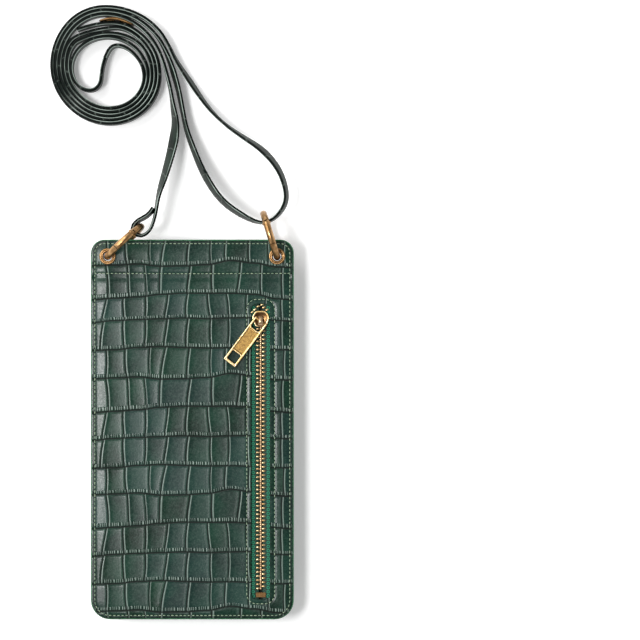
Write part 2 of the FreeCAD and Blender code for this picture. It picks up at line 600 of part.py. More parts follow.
outline = thick_line([tab_axis, tab_bend, tab_low], S.bend_radius, half_tab)
outline.translate(V(-S.tab_width / 2, 0, 0))
tab = Part.Face(outline).extrude(V(S.tab_width, 0, 0))
end_edges = [edge for edge in tab.Edges if abs(edge.CenterOfMass.x) > S.tab_width / 4
             and edge.CenterOfMass.y < tab_end_y + half_tab / 2 and edge.Length < S.tab_thickness + S.web_width]
tab = tab.makeFillet(S.tab_corner, end_edges)
tab = tab.cut(disc(S.post_diameter, S.snap_gap - S.tab_thickness, S.snap_gap + 2 * S.tab_thickness))
keep(shaped("closure_tab", tab), "closure_tab")
cap_base = S.snap_gap + S.tab_thickness
rise = S.cap_rise - S.cap_rim
sphere_radius = ((S.cap_diameter / 2) ** 2 + rise ** 2) / (2 * rise)
ball = Part.makeSphere(sphere_radius, snap_face + normal * (cap_base + S.cap_rise - sphere_radius))
cap = disc(S.cap_diameter, cap_base, cap_base + S.cap_rise).common(ball)
cap = cap.fuse(disc(S.post_diameter, S.snap_gap, cap_base)).removeSplitter()
keep(shaped("snap_cap", cap), "snap_cap")
socket = disc(S.socket_diameter, S.snap_gap - S.socket_thickness, S.snap_gap).cut(
    disc(S.socket_bore, 0, 2 * S.snap_gap))
keep(shaped("snap_socket", socket), "snap_socket")

# Rings: a round wire with a sprung gate on its upper side, built with the ring's tip along local +X.
TOUCH = "Sizes.wire"


def ring_arc(name, start, sweep):
    arc = doc.addObject("Part::Torus", name)
    bind(arc, Radius1="Sizes.ring_radius", Radius2="Sizes.wire / 2", Angle3=sweep)
    arc.Placement = FreeCAD.Placement(V(0, 0, 0), FreeCAD.Rotation(UP, amount(start)))
    return arc


def at_pivot(name, diameter, height):
    """Cylinder on the gate's pin, centred on the ring's plane."""
    x = "Sizes.ring_radius * cos(Sizes.pivot_angle * 1 deg)"
    y = "Sizes.ring_radius * sin(Sizes.pivot_angle * 1 deg)"
    return cylinder(name, diameter, height, x, y, "-(%s) / 2" % height)


def rounded_pin(name, solid):
    """Pin with both ends rounded over."""
    doc.recompute()
    size = S.pin_diameter / 4
    pin = doc.addObject("Part::Fillet", name)
    pin.Base = solid
    pin.Edges = [(number, size, size) for number, edge in enumerate(solid.Shape.Edges, start=1) if edge.isClosed()]
    return pin


for side in ("left", "right"):
    tag = "_" + side
    frame = FreeCAD.Placement(ring_centre[side] + V(0, amount("Sizes.board_y"), 0),
                              FreeCAD.Rotation(lean[side], UP, lean[side].cross(UP), "ZXY"))
    chord = "(2 * 2 * Sizes.ring_radius * sin(Sizes.gate_angle * 0.5 deg))"
    main = ring_arc("ring_main" + tag, "Sizes.pivot_angle + Sizes.gate_angle * 1.25",
                    "360 - Sizes.gate_angle * 1.25")
    lip = cut("ring_lip" + tag, ring_arc("ring_end" + tag, "Sizes.pivot_angle + Sizes.gate_angle * 0.75",
                                         "Sizes.gate_angle * 0.5"),
              at_pivot("ring_lip_tool" + tag, chord + " + 2 * Sizes.gate_gap", TOUCH + " * 2"))
    knuckle = common("ring_knuckle" + tag, at_pivot("knuckle" + tag, "Sizes.wire", "Sizes.wire"),
                     ring_arc("knuckle_wire" + tag, "Sizes.pivot_angle - Sizes.gate_angle * 0.25",
                              "Sizes.gate_angle * 0.5"))
    blank = fuse("ring_blank" + tag, main, lip, knuckle)
    slotted = cut("ring_slotted" + tag, blank,
                  at_pivot("ring_slot" + tag, "Sizes.wire + 2 * Sizes.gate_gap", "Sizes.fork_slot"))
    ring = cut("ring" + tag, slotted, at_pivot("ring_pin_hole" + tag, "Sizes.pin_diameter", TOUCH + " * 2"))
    arc = cut("gate_arc" + tag,
              common("gate_sweep" + tag, ring_arc("gate_wire" + tag, "Sizes.pivot_angle", "Sizes.gate_angle * 1.25"),
                     at_pivot("gate_reach" + tag, chord, TOUCH + " * 2")),
              at_pivot("gate_heel" + tag, "Sizes.wire + 2 * Sizes.gate_gap", TOUCH + " * 2"))
    tongue = common("gate_tongue" + tag, ring_arc("tongue_wire" + tag, "Sizes.pivot_angle", "Sizes.gate_angle * 0.3"),
                    at_pivot("tongue_slab" + tag, "Sizes.ring_radius", "Sizes.tongue"))
    eye = common("gate_eye" + tag, at_pivot("tongue_eye" + tag, "Sizes.wire - Sizes.gate_gap", "Sizes.tongue"),
                 ring_arc("eye_wire" + tag, "Sizes.pivot_angle - Sizes.gate_angle * 0.25", "Sizes.gate_angle * 0.5"))
    gate = cut("ring_gate" + tag, fuse("gate_blank" + tag, arc, tongue, eye),
               at_pivot("gate_pin_hole" + tag, "Sizes.pin_diameter + Sizes.pin_play", TOUCH + " * 2"))
    pin = rounded_pin("ring_pin" + tag, at_pivot("pin" + tag, "Sizes.pin_diameter", "Sizes.pin_length"))
    for piece, label in ((ring, "ring" + tag), (gate, "ring%s_gate" % tag), (pin, "ring%s_gate_pin" % tag)):
        piece.Placement = frame
        piece.Label = label
        pieces.append(piece)

# Strap: a flat strip that stands on its edge. Its coil is drawn by knots (place and heading) joined by
# pairs of arcs; the strands that run up to the rings are straight runs with an arc at each turn.
half_strap = S.strap_thickness / 2
pitch = S.strap_thickness + S.coil_gap
coil_left, coil_right = coil_x - S.coil_half_width, coil_x + S.coil_half_width
coil_low, coil_high = coil_y - S.coil_half_height, coil_y + S.coil_half_height
strap_z = S.strap_width / 2


def at_coil(x, y, heading):
    """Knot placed by shares of the coil's half width and half height."""
    return (coil_x + x * S.coil_half_width, coil_y + y * S.coil_half_height, heading)


def outward(knot, layers):
    x, y, heading = knot
    side = direction(heading - UPRIGHT) * (layers * pitch)
    return (x + side.x, y + side.y, heading)


LEFT_SHARE, LOW_SHARE, RIGHT_SHARE, HIGH_SHARE = 0.0, 0.08, -0.18, -0.01
LEFT, LOW, RIGHT, HIGH = 270.0, 0.0, 90.0, 180.0


def left_of(layer):
    return (coil_left + layer * pitch, coil_y + LEFT_SHARE * S.coil_half_height, LEFT)


def low_of(layer):
    return (coil_x + LOW_SHARE * S.coil_half_width, coil_low + layer * pitch, LOW)


def right_of(layer):
    return (coil_right - layer * pitch, coil_y + RIGHT_SHARE * S.coil_half_height, RIGHT)


def high_of(layer):
    return (coil_x + HIGH_SHARE * S.coil_half_width, coil_high - layer * pitch, HIGH)


entry_a = at_coil(1.257, -0.75, 100.0)
entry_b = at_coil(1.386, -0.632, 100.0)
entry_c = at_coil(1.361, 0.007, 124.0)
rise_a = at_coil(1.196, -0.398, 101.0)
turn_a = at_coil(1.004, 0.342, 119.0)
turn_inner = at_coil(0.896, 0.257, 117.0)
NEAR_SHARE, NEXT_SHARE, LAST_SHARE = 1.25, 1.1, 2.15
core = at_coil(-0.643, -0.053, RIGHT)
core = (left_of(5)[0], core[1], RIGHT)
strand_a = [entry_a, rise_a, turn_a, high_of(2), left_of(2), low_of(2), right_of(2), outward(turn_inner, -2),
            at_coil(0.061, 0.526, HIGH), left_of(4), low_of(4), right_of(4), at_coil(0.511, 0.21, 137.0),
            at_coil(0.204, 0.342, HIGH), at_coil(-0.011, 0.128, 248.0), at_coil(-0.089, -0.234, 266.0),
            at_coil(-0.293, -0.434, HIGH), core]
strand_b = [entry_b, outward(rise_a, NEAR_SHARE), outward(turn_a, NEXT_SHARE), high_of(1), left_of(1), low_of(1),
            right_of(1), outward(turn_inner, -1), at_coil(0.061, 0.632, HIGH), left_of(3), low_of(3),
            right_of(3), at_coil(0.025, 0.447, HIGH)]
strand_c = [entry_c, outward(turn_a, LAST_SHARE), high_of(0), left_of(0), low_of(0), right_of(0), turn_inner,
            at_coil(0.504, 0.648, 165.0)]
buckle = [strand_c[-1], at_coil(-0.132, 0.717, HIGH)]
HALF_TURN = 180.0
coil_knots = strand_a + [(x, y, heading + HALF_TURN) for x, y, heading in reversed(strand_b)]


def pair_of_arcs(first, last):
    """Two arcs that leave one knot and reach the next along their headings."""
    start, end = V(first[0], first[1], 0), V(last[0], last[1], 0)
    leave, arrive = direction(first[2]), direction(last[2])
    span, both = end - start, leave + arrive
    bend = 2 * (1 - leave.dot(arrive))
    along = span.dot(both)
    if bend < 1 - SQUARE_SHARE ** 2 and bend < SMALL_SHARE:
        reach_out = span.dot(span) / (4 * span.dot(arrive))
    else:
        reach_out = (math.sqrt(along * along + bend * span.dot(span)) - along) / bend
    before, after = start + leave * reach_out, end - arrive * reach_out
    joint = (before + after) * HALF_SHARE
    return [(start, leave, joint), (joint, (after - before).normalize(), end)]


SMALL_SHARE = 1e-9


class Bow:
    """Plane arc from one point, along a heading, to another."""

    def __init__(self, start, heading, end):
        span = end - start
        left = UP.cross(heading)
        self.radius = span.dot(span) / (2 * span.dot(left))
        self.centre = start + left * self.radius
        self.first = math.atan2(start.y - self.centre.y, start.x - self.centre.x)
        last = math.atan2(end.y - self.centre.y, end.x - self.centre.x)
        self.sweep = (last - self.first) % (2 * math.pi)
        if self.radius < 0:
            self.sweep -= 2 * math.pi
        self.length = abs(self.radius * self.sweep)

    def point(self, share, side=0):
        """Point at a share of the arc, moved to the left by side."""
        angle = self.first + self.sweep * share
        size = abs(self.radius) - (side if self.radius > 0 else -side)
        return self.centre + V(math.cos(angle), math.sin(angle), 0) * size

    def edge(self, side):
        return Part.Arc(self.point(0, side), self.point(HALF_SHARE, side), self.point(1, side)).toShape()


def strip(knots, half, height):
    """Upright strip along the knots, its arcs and its length."""
    bows = [Bow(*leg) for first, last in zip(knots, knots[1:]) for leg in pair_of_arcs(first, last)]
    left = [bow.edge(half) for bow in bows]
    right = [bow.edge(-half) for bow in bows]
    caps = [Part.LineSegment(bows[i].point(share, half), bows[i].point(share, -half)).toShape()
            for i, share in ((0, 0), (-1, 1))]
    wire = Part.Wire(Part.__sortEdges__(left + right + caps))
    return Part.Face(wire).extrude(V(0, 0, height)), bows, sum(bow.length for bow in bows)


def line_points(bows):
    """Points along the arcs, about one strap thickness apart, with the distance run to each."""
    run, points = 0.0, []
    for bow in bows:
        count = max(2, int(bow.length / S.strap_thickness))
        points += [(run + bow.length * i / count, bow.point(i / count)) for i in range(count)]
        run += bow.length
    return points


def smallest_gap(points):
    """Clear space between turns that lie more than three pitches apart along the strip."""
    return min((one - two).Length - S.strap_thickness for i, (run, one) in enumerate(points)
               for further, two in points[i + 1:] if further - run > 3 * S.strap_width)


coil, coil_bows, coil_length = strip(coil_knots, half_strap, S.strap_width)
tail, tail_bows, tail_length = strip(strand_c, half_strap, S.strap_width)
print("coil: length %.1f, smallest radius %.2f, gap %.2f" % (
    coil_length, min(abs(bow.radius) for bow in coil_bows), smallest_gap(line_points(coil_bows))))
between = min((one - two).Length for _, one in line_points(coil_bows) for _, two in line_points(tail_bows))
print("tail: length %.1f, gap to the coil %.2f" % (tail_length, between - S.strap_thickness))
keep(shaped("strap_coil", coil), "strap_coil")
keep(shaped("strap_tail", tail), "strap_tail")

frame_solid, buckle_bows, buckle_length = strip(buckle, S.adjuster_thickness / 2, S.adjuster_height)
for share in (0.27, 0.73):
    number = min(int(share * len(buckle_bows)), len(buckle_bows) - 1)
    middle = buckle_bows[number].point(share * len(buckle_bows) - number)
    along = (buckle_bows[-1].point(1) - buckle_bows[0].point(0)).normalize()
    hole = Part.makeBox(S.adjuster_window, 4 * S.adjuster_thickness,
                        S.adjuster_height - S.adjuster_sill - S.adjuster_border)
    hole.translate(V(-S.adjuster_window / 2, -2 * S.adjuster_thickness, 0))
    hole.Placement = FreeCAD.Placement(middle + V(0, 0, S.adjuster_sill), FreeCAD.Rotation(V(1, 0, 0), along)
                                       ).multiply(hole.Placement)
    frame_solid = frame_solid.cut(hole)
keep(shaped("strap_adjuster", frame_solid), "strap_adjuster")


def near_ring(side, along, across):
    """Point by shares of the ring's radius, counted from its tip along its lean and to the left of it."""
    return ring_tip[side] + (lean[side] * along + UP.cross(lean[side]) * across) * S.ring_radius


def near_coil(x, y, rise):
    """Point by shares of the coil's size, and its share of the rise from floor to ring."""
    place_x, place_y, _ = at_coil(x, y, 0)
    return V(place_x, place_y, strap_z + rise * (ring_z - strap_z))


def lead_in(knot, share):
    """The knot itself and a point before it, so that the strand meets the coil square."""
    end = V(knot[0], knot[1], strap_z)
    return [end - direction(knot[2]) * (share * S.strap_width), end]


def run_path(points):
    """Straight runs with an arc at each turn; gives the edges, the length and the radii."""
    edges, radii, start = [], [], points[0]
    for i in range(1, len(points) - 1):
        before, after = points[i] - points[i - 1], points[i + 1] - points[i]
        trim = TRIM_SHARE * min(before.Length, after.Length)
        half_turn = before.getAngle(after) / 2
        enter, leave = points[i] - before.normalize() * trim, points[i] + after.normalize() * trim
        radius = trim / math.tan(half_turn)
        inward = (leave + enter) * HALF_SHARE - points[i]
        top = points[i] + inward.normalize() * (radius / math.cos(half_turn) - radius)
        edges += [Part.LineSegment(start, enter).toShape(), Part.Arc(enter, top, leave).toShape()]
        radii.append(radius)
        start = leave
    edges.append(Part.LineSegment(start, points[-1]).toShape())
    return edges, sum(edge.Length for edge in edges), radii


TRIM_SHARE = 0.45


def strand(name, points):
    """Strip swept along the runs with its width kept upright."""
    edges, length, radii = run_path(points)
    ahead = (points[1] - points[0]).normalize()
    side, rise = UP.cross(ahead) * half_strap, UP * (S.strap_width / 2)
    corners = [points[0] + side + rise, points[0] - side + rise, points[0] - side - rise, points[0] + side - rise]
    sweep = Part.BRepOffsetAPI.MakePipeShell(Part.Wire(edges))
    sweep.setBiNormalMode(UP)
    sweep.add(Part.Wire(Part.makePolygon(corners + corners[:1])), False, False)
    sweep.build()
    sweep.makeSolid()
    solid = sweep.shape()
    if solid.Volume < 0:
        solid = solid.reversed()
    share = solid.Volume / (length * S.strap_width * S.strap_thickness)
    print("%s: length %.1f, radii %s, volume share %.3f" % (name, length, ["%.1f" % r for r in radii], share))
    keep(shaped(name, solid), name)
    return length


lead_points = [near_ring("left", *shares) for shares in (
    (1.077, 0.350), (0.667, 0.150), (0.026, 0.274), (-0.427, 0.103), (-0.359, -0.359), (0.085, -0.530),
    (0.538, -0.256), (0.897, 0.026), (1.496, 0.530))]
lead_points += [near_coil(1.111, -1.911, 0.74), near_coil(1.239, -1.447, 0.34), near_coil(1.289, -1.155, 0.07)]
lead_points += lead_in(entry_a, 0.65)
ring_points = list(reversed(lead_in(entry_b, 0.75)))
ring_points += [near_coil(1.504, -1.122, 0.12), near_coil(1.664, -1.516, 0.35), near_coil(1.832, -1.878, 0.62),
                near_coil(2.118, -2.299, 0.9)]
ring_points += [near_ring("right", *shares) for shares in (
    (0.436, 1.137), (-0.359, 0.342), (-0.410, -0.256), (-0.128, -0.803), (0.291, -1.179), (0.974, -1.299))]
ring_points += [near_coil(3.207, -1.753, 0.85), near_coil(2.918, -1.451, 0.66), near_coil(2.579, -1.253, 0.46),
                near_coil(2.218, -1.023, 0.26), near_coil(1.886, -0.717, 0.09)]
ring_points += lead_in(entry_c, 0.95)
total = coil_length + tail_length
total += strand("strap_lead", lead_points)
total += strand("strap_through_ring", ring_points)
print("strap length %.0f mm" % total)

# Every object is sound before anything is written.
doc.recompute()
bad = [item.Name for item in doc.Objects if {"Invalid", "Error"} & set(item.State)]
bad += [piece.Label for piece in pieces if piece.Shape.isNull() or not piece.Shape.isValid()]
if bad:
    raise RuntimeError("failed: %s" % bad)
os.makedirs("parts", exist_ok=True)
for piece in pieces:
    shape = piece.Shape
    bounds = shape.BoundBox
    print("%-22s solids %3d volume %9.1f  x %.1f %.1f  y %.1f %.1f  z %.2f %.2f" % (
        piece.Label, len(shape.Solids), shape.Volume, bounds.XMin, bounds.XMax, bounds.YMin, bounds.YMax,
        bounds.ZMin, bounds.ZMax))
    shape.exportStep("parts/%s.step" % piece.Label)
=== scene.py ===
# %% [markdown]
# # A green embossed phone pouch, from solid model to picture
#
# The pouch lies zip side up on a pale floor, with its strap coiled beside the rings. The solid model
# gives the frame: every visible piece below rides on one of its bodies, so hinges and slides still work.
# We start by loading that frame and keeping its size, then set the camera where the photo was taken from.

# %% Load the frame
import math

import bpy
import numpy as np
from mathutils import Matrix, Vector


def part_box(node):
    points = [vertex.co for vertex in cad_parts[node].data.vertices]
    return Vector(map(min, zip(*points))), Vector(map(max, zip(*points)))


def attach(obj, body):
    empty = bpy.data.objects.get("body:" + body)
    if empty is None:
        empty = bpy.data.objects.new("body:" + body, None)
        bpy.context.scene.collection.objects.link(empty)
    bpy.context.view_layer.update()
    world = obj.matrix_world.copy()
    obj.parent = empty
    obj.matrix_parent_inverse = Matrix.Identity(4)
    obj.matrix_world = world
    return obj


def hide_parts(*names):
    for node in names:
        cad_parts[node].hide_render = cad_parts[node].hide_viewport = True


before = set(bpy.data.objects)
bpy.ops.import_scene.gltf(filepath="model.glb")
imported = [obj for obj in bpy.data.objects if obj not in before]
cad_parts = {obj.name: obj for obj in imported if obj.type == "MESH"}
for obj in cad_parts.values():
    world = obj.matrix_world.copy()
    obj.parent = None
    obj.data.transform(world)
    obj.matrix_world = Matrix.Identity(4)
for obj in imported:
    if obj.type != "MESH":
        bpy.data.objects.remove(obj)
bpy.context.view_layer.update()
scene = bpy.context.scene
MM = 0.001
BOARD_Y = -7.569 * MM

# %% [markdown]
# The photo looks straight down on the zip side. One pixel is 0.517 mm, so the picture is 331 mm wide, and
# the camera stands far away with a long lens to keep the sides parallel.

# %% Camera
PIXEL, PHOTO_SIZE, BOARD_PIXEL = 0.517 * MM, 640, (192.25, 429.6)
SENSOR, FAR, ZIP_SIDE_Z = 36, 1.5, 20.5 * MM
middle_x = (PHOTO_SIZE / 2 - BOARD_PIXEL[0]) * PIXEL
middle_y = (BOARD_PIXEL[1] - PHOTO_SIZE / 2) * PIXEL + BOARD_Y
camera_data = bpy.data.cameras.new("camera")
camera_data.sensor_width = SENSOR
camera_data.lens = SENSOR * FAR / (PHOTO_SIZE * PIXEL)
camera_data.clip_end = 20
camera = bpy.data.objects.new("camera", camera_data)
camera.location = (middle_x, middle_y, FAR + ZIP_SIDE_Z)
scene.collection.objects.link(camera)
scene.camera = camera
scene.view_settings.view_transform = "Standard"
print("lens %.1f mm at %.2f m" % (camera_data.lens, FAR))

# %% [markdown]
# Small helpers come next: a mesh from arrays, with attributes that materials can read, and a distance
# that says how far a point lies inside a rounded rectangle. Flat leather is a fine grid cut by such
# distances, its rim points drawn exactly onto the outline. Shapes are given in millimetres from the
# board's middle. Each piece rides on a body of the frame and may stand for solids.


# %% Mesh helpers
def in_frame(points):
    """Metres of the frame from millimetres of the board."""
    return np.asarray(points, float) * MM + np.array([0, BOARD_Y, 0])


def dress(piece, slot, *solids, body="pouch"):
    """Puts a piece on a body, in place of some solids; the finish that it is given is not used."""
    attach(piece, body)
    if solids:
        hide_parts(*solids)
    return piece


def run_along(points):
    """Length along a line of points, from its start to each of them."""
    return np.concatenate([[0], np.cumsum(np.linalg.norm(np.diff(points, axis=0), axis=1))])


def quads(rows, count, ring=False, loop=False, flip=False):
    """Faces of a grid of points. A ring closes each row, a loop joins the last row to the first."""
    index = np.arange(rows * count).reshape(rows, count)
    if ring:
        index = np.hstack([index, index[:, :1]])
    if loop:
        index = np.vstack([index, index[:1]])
    faces = np.stack([index[:-1, :-1], index[:-1, 1:], index[1:, 1:], index[1:, :-1]], -1).reshape(-1, 4)
    return faces[:, [0, 3, 2, 1]] if flip else faces


def mesh_object(name, vertices, faces, material=None, **attributes):
    """Smooth mesh from vertices in metres, with one float attribute per keyword."""
    mesh = bpy.data.meshes.new(name)
    faces = [tuple(int(i) for i in face) for face in faces]
    mesh.from_pydata([tuple(v) for v in np.asarray(vertices, float)], [], faces)
    mesh.update()
    for key, values in attributes.items():
        layer = mesh.attributes.new(key, "FLOAT", "POINT")
        layer.data.foreach_set("value", np.asarray(values, np.float32))
    mesh.polygons.foreach_set("use_smooth", [True] * len(mesh.polygons))
    obj = bpy.data.objects.new(name, mesh)
    scene.collection.objects.link(obj)
    if material:
        mesh.materials.append(material)
    return obj


def rounded_box(x, y, centre, half, radii):
    """Distance to a rectangle whose upper and lower corners have their own radii; inside is negative."""
    px, py = np.abs(x - centre[0]), y - centre[1]
    radius = np.where(py > 0, radii[0], radii[1])
    qx, qy = px - half[0] + radius, np.abs(py) - half[1] + radius
    outside = np.hypot(np.maximum(qx, 0), np.maximum(qy, 0))
    return outside + np.minimum(np.maximum(qx, qy), 0) - radius


def disc(x, y, centre, radius):
    return np.hypot(x - centre[0], y - centre[1]) - radius


def fitted_grid(distance, low, high, step):
    """Grid of quads inside an outline, its rim moved onto the outline: points (n, 2) and faces."""
    nx, ny = (int(math.ceil((high[i] - low[i]) / step)) + 1 for i in range(2))
    gx, gy = np.meshgrid(np.linspace(low[0], high[0], nx), np.linspace(low[1], high[1], ny))
    x, y = gx.ravel(), gy.ravel()
    cells = quads(ny, nx)
    middle = distance(x[cells].mean(1), y[cells].mean(1))
    cells = cells[middle < 0]
    used, counts = np.unique(cells, return_counts=True)
    rim = np.zeros(nx * ny, bool)
    rim[used[counts < 4]] = True
    fine = step * 0.01
    for _ in range(4):
        d = distance(x[rim], y[rim])
        dx = (distance(x[rim] + fine, y[rim]) - distance(x[rim] - fine, y[rim])) / (2 * fine)
        dy = (distance(x[rim], y[rim] + fine) - distance(x[rim], y[rim] - fine)) / (2 * fine)
        size = np.maximum(dx * dx + dy * dy, 0.25)
        x[rim] -= d * dx / size
        y[rim] -= d * dy / size
    renumber = np.full(nx * ny, -1)
    renumber[used] = np.arange(len(used))
    return np.stack([x[used], y[used]], 1), renumber[cells]


print("helpers ready")

# %% [markdown]
# The strap is one flat strip that stands on its edge. Knots give its place and heading, and a pair of
# arcs joins each knot to the next. Two strands run side by side through the coil to its S-shaped core.
# The third passes the adjuster and ends behind it. A curve drawn by hand would do as well, but a knot is
# easier to move.


# %% Strap centre lines
def heading(degrees):
    return np.array([math.cos(math.radians(degrees)), math.sin(math.radians(degrees))])


def arc_points(start, along, end, step):
    """Points of the arc that leaves start along a heading and reaches end; start is left out."""
    span = end - start
    left = np.array([-along[1], along[0]])
    radius = span @ span / (2 * (span @ left))
    centre = start + left * radius
    first = math.atan2(*(start - centre)[::-1])
    sweep = (math.atan2(*(end - centre)[::-1]) - first) % (2 * math.pi) - (2 * math.pi if radius < 0 else 0)
    count = max(2, int(abs(radius * sweep) / step))
    angles = first + sweep * np.arange(1, count + 1) / count
    return centre + abs(radius) * np.stack([np.cos(angles), np.sin(angles)], 1)


def through_knots(knots, step=2.5):
    """Centre line through (x, y, heading) knots, as points about a step apart."""
    line = [np.array([knots[0][:2]], float)]
    for (x0, y0, a0), (x1, y1, a1) in zip(knots, knots[1:]):
        p0, p1, t0, t1 = np.array([x0, y0]), np.array([x1, y1]), heading(a0), heading(a1)
        span, both = p1 - p0, t0 + t1
        bend = 2 * (1 - t0 @ t1)
        if bend < 1e-9:
            reach = span @ span / (4 * (span @ t1))
        else:
            reach = (math.sqrt((span @ both) ** 2 + bend * (span @ span)) - span @ both) / bend
        q0, q1 = p0 + t0 * reach, p1 - t1 * reach
        joint, across = (q0 + q1) / 2, (q1 - q0) / np.linalg.norm(q1 - q0)
        line += [arc_points(p0, t0, joint, step), arc_points(joint, across, p1, step)]
    return np.concatenate(line)


STRAP_WIDTH, PITCH, STRAP_Z, RING_Z = 9.5, 2.0, 4.75, 18.0
COIL = np.array([-45.7, 189.6])
COIL_HALF = np.array([28.0, 30.4])
SIDE_SHARES = {"left": (-1, 0, 270), "low": (0.08, -1, 0), "right": (1, -0.18, 90), "high": (-0.01, 1, 180)}


def at_coil(x, y, a):
    """Knot by shares of the coil's half sizes from its middle, and a heading in degrees."""
    return (COIL[0] + x * COIL_HALF[0], COIL[1] + y * COIL_HALF[1], a)


def outward(knot, layers):
    """Knot moved to the right of its heading, which is out of the coil, by a number of layers."""
    side = heading(knot[2] - 90) * layers * PITCH
    return (knot[0] + side[0], knot[1] + side[1], knot[2])


def quarter(name, layer):
    """Knot of a layer at the coil's left, low, right or high side."""
    return outward(at_coil(*SIDE_SHARES[name]), -layer)


def turn(layer):
    return [quarter(name, layer) for name in ("left", "low", "right")]


rise, inner = at_coil(1.196, -0.398, 102), at_coil(0.896, 0.257, 117)
bend = outward(inner, 1.12)
core = outward(at_coil(-1, -0.053, 270), -5)
core_end = (-0.011, 0.128)
entry_a, entry_b = at_coil(1.257, -0.75, 100), at_coil(1.396, -0.632, 101)
entry_c = at_coil(1.361, 0.007, 124)
coil_a = [entry_a, rise, bend, quarter("high", 2)] + turn(2)
coil_a += [outward(inner, -2), at_coil(0.061, 0.549, 180)]
coil_a += [at_coil(-0.425, 0.447, 203), at_coil(-0.593, 0.352, 230)] + turn(4)
coil_a += [at_coil(0.511, 0.21, 137), at_coil(0.204, 0.342, 180), at_coil(*core_end, 248)]
coil_b = [entry_b, at_coil(1.336, -0.375, 104.5), outward(bend, 1.5), quarter("high", 1)] + turn(1)
coil_b += [outward(inner, -1), at_coil(0.461, 0.571, 150), at_coil(0.139, 0.642, 185)]
coil_b += [at_coil(-0.457, 0.526, 200), at_coil(-0.664, 0.401, 232)] + turn(3) + [at_coil(0.025, 0.483, 180)]
coil_b += [core, at_coil(-0.293, -0.434, 0), at_coil(-0.089, -0.234, 86), at_coil(*core_end, 68)]
coil_c = [entry_c, outward(bend, 2.9), quarter("high", 0)] + turn(0) + [inner, at_coil(0.493, 0.632, 150)]
coil_c += [at_coil(-0.098, 0.709, 189), at_coil(-0.529, 0.603, 201)]

lean = {"left": heading(42), "right": heading(107.5)}
EYELET = {"left": np.array([-43.8, 89.55]), "right": np.array([43.8, 89.55])}
RING, RING_PLAY = 11.7, 0.24
tip = {side: EYELET[side] + lean[side] * (2 * RING - RING_PLAY) for side in lean}


def near_ring(side, along, across):
    """Point by shares of the ring's radius from its tip, along its lean and to the left of it."""
    u = lean[side]
    return tuple(tip[side] + (u * along + np.array([-u[1], u[0]]) * across) * RING) + (RING_Z,)


def near_coil(x, y, share):
    """Point by shares of the coil's half sizes, and of the rise from the coil to the rings."""
    return at_coil(x, y, 0)[:2] + (STRAP_Z + share * (RING_Z - STRAP_Z),)


def lead_in(knot, share):
    end = np.array(knot[:2])
    return [tuple(end - heading(knot[2]) * share * STRAP_WIDTH) + (STRAP_Z,), tuple(end) + (STRAP_Z,)]


def level(path, z):
    return np.column_stack([path, np.broadcast_to(z, len(path))])


FOLD = [(0.97, 0.235), (0.6, 0.12), (0.0, 0.32), (-0.43, 0.15), (-0.33, -0.32), (0.1, -0.42),
        (0.52, -0.23), (0.897, 0.026), (1.496, 0.530)]
run_a = [near_ring("left", *share) for share in FOLD]
run_a += [near_coil(1.111, -1.911, 0.74), near_coil(1.239, -1.447, 0.34), near_coil(1.289, -1.155, 0.07)]
run_a += lead_in(entry_a, 0.65)
middle_b = near_ring("right", -0.385, 0.043)
run_b = [middle_b, near_ring("right", -0.359, 0.342), near_ring("right", 0.436, 1.137)]
run_b += [near_coil(2.118, -2.299, 0.9), near_coil(1.832, -1.878, 0.62), near_coil(1.664, -1.516, 0.35),
          near_coil(1.504, -1.122, 0.12)] + lead_in(entry_b, 0.75)
run_c = [middle_b, near_ring("right", -0.410, -0.256), near_ring("right", -0.128, -0.803),
         near_ring("right", 0.291, -1.179), near_ring("right", 0.974, -1.299)]
run_c += [near_coil(3.207, -1.753, 0.85), near_coil(2.918, -1.451, 0.66), near_coil(2.579, -1.253, 0.46),
          near_coil(2.218, -1.023, 0.26), near_coil(1.886, -0.717, 0.09)] + lead_in(entry_c, 0.95)
strands = {"strap_a": (run_a, coil_a), "strap_b": (run_b, coil_b), "strap_c": (run_c, coil_c)}
lines = {name: np.concatenate([np.array(run), level(through_knots(knots), STRAP_Z)[1:]])
         for name, (run, knots) in strands.items()}
print({name: len(line) for name, line in lines.items()}, "control points")

# %% [markdown]
# Each line becomes a smooth curve, and the strip is swept along its points: 9.5 mm tall, 1.4 mm thick,
# with rounded edges. A curve's own bevel could make it too, but then it couldn't lean. In the coil it is
# a little thicker, because the turns lie close. The shares across and through the strip are kept as
# attributes, so that its edges can be painted.


# %% Strap strips
STRAP_THICK, COIL_SWELL, SWELL_RUN = 1.4, 1.24, (100, 130)


def smooth_line(name, line):
    """Points in metres of a quadratic curve whose control points are given in millimetres."""
    curve = bpy.data.curves.new(name, "CURVE")
    curve.dimensions = "3D"
    curve.resolution_u = 3
    spline = curve.splines.new("NURBS")
    spline.points.add(len(line) - 1)
    spline.points.foreach_set("co", level(in_frame(line), 1.0).ravel())
    spline.order_u = 3
    spline.use_endpoint_u = True
    guide = bpy.data.objects.new(name, curve)
    mesh = bpy.data.meshes.new_from_object(guide)
    points = np.array([vertex.co for vertex in mesh.vertices])
    bpy.data.meshes.remove(mesh)
    bpy.data.objects.remove(guide)
    bpy.data.curves.remove(curve)
    return points


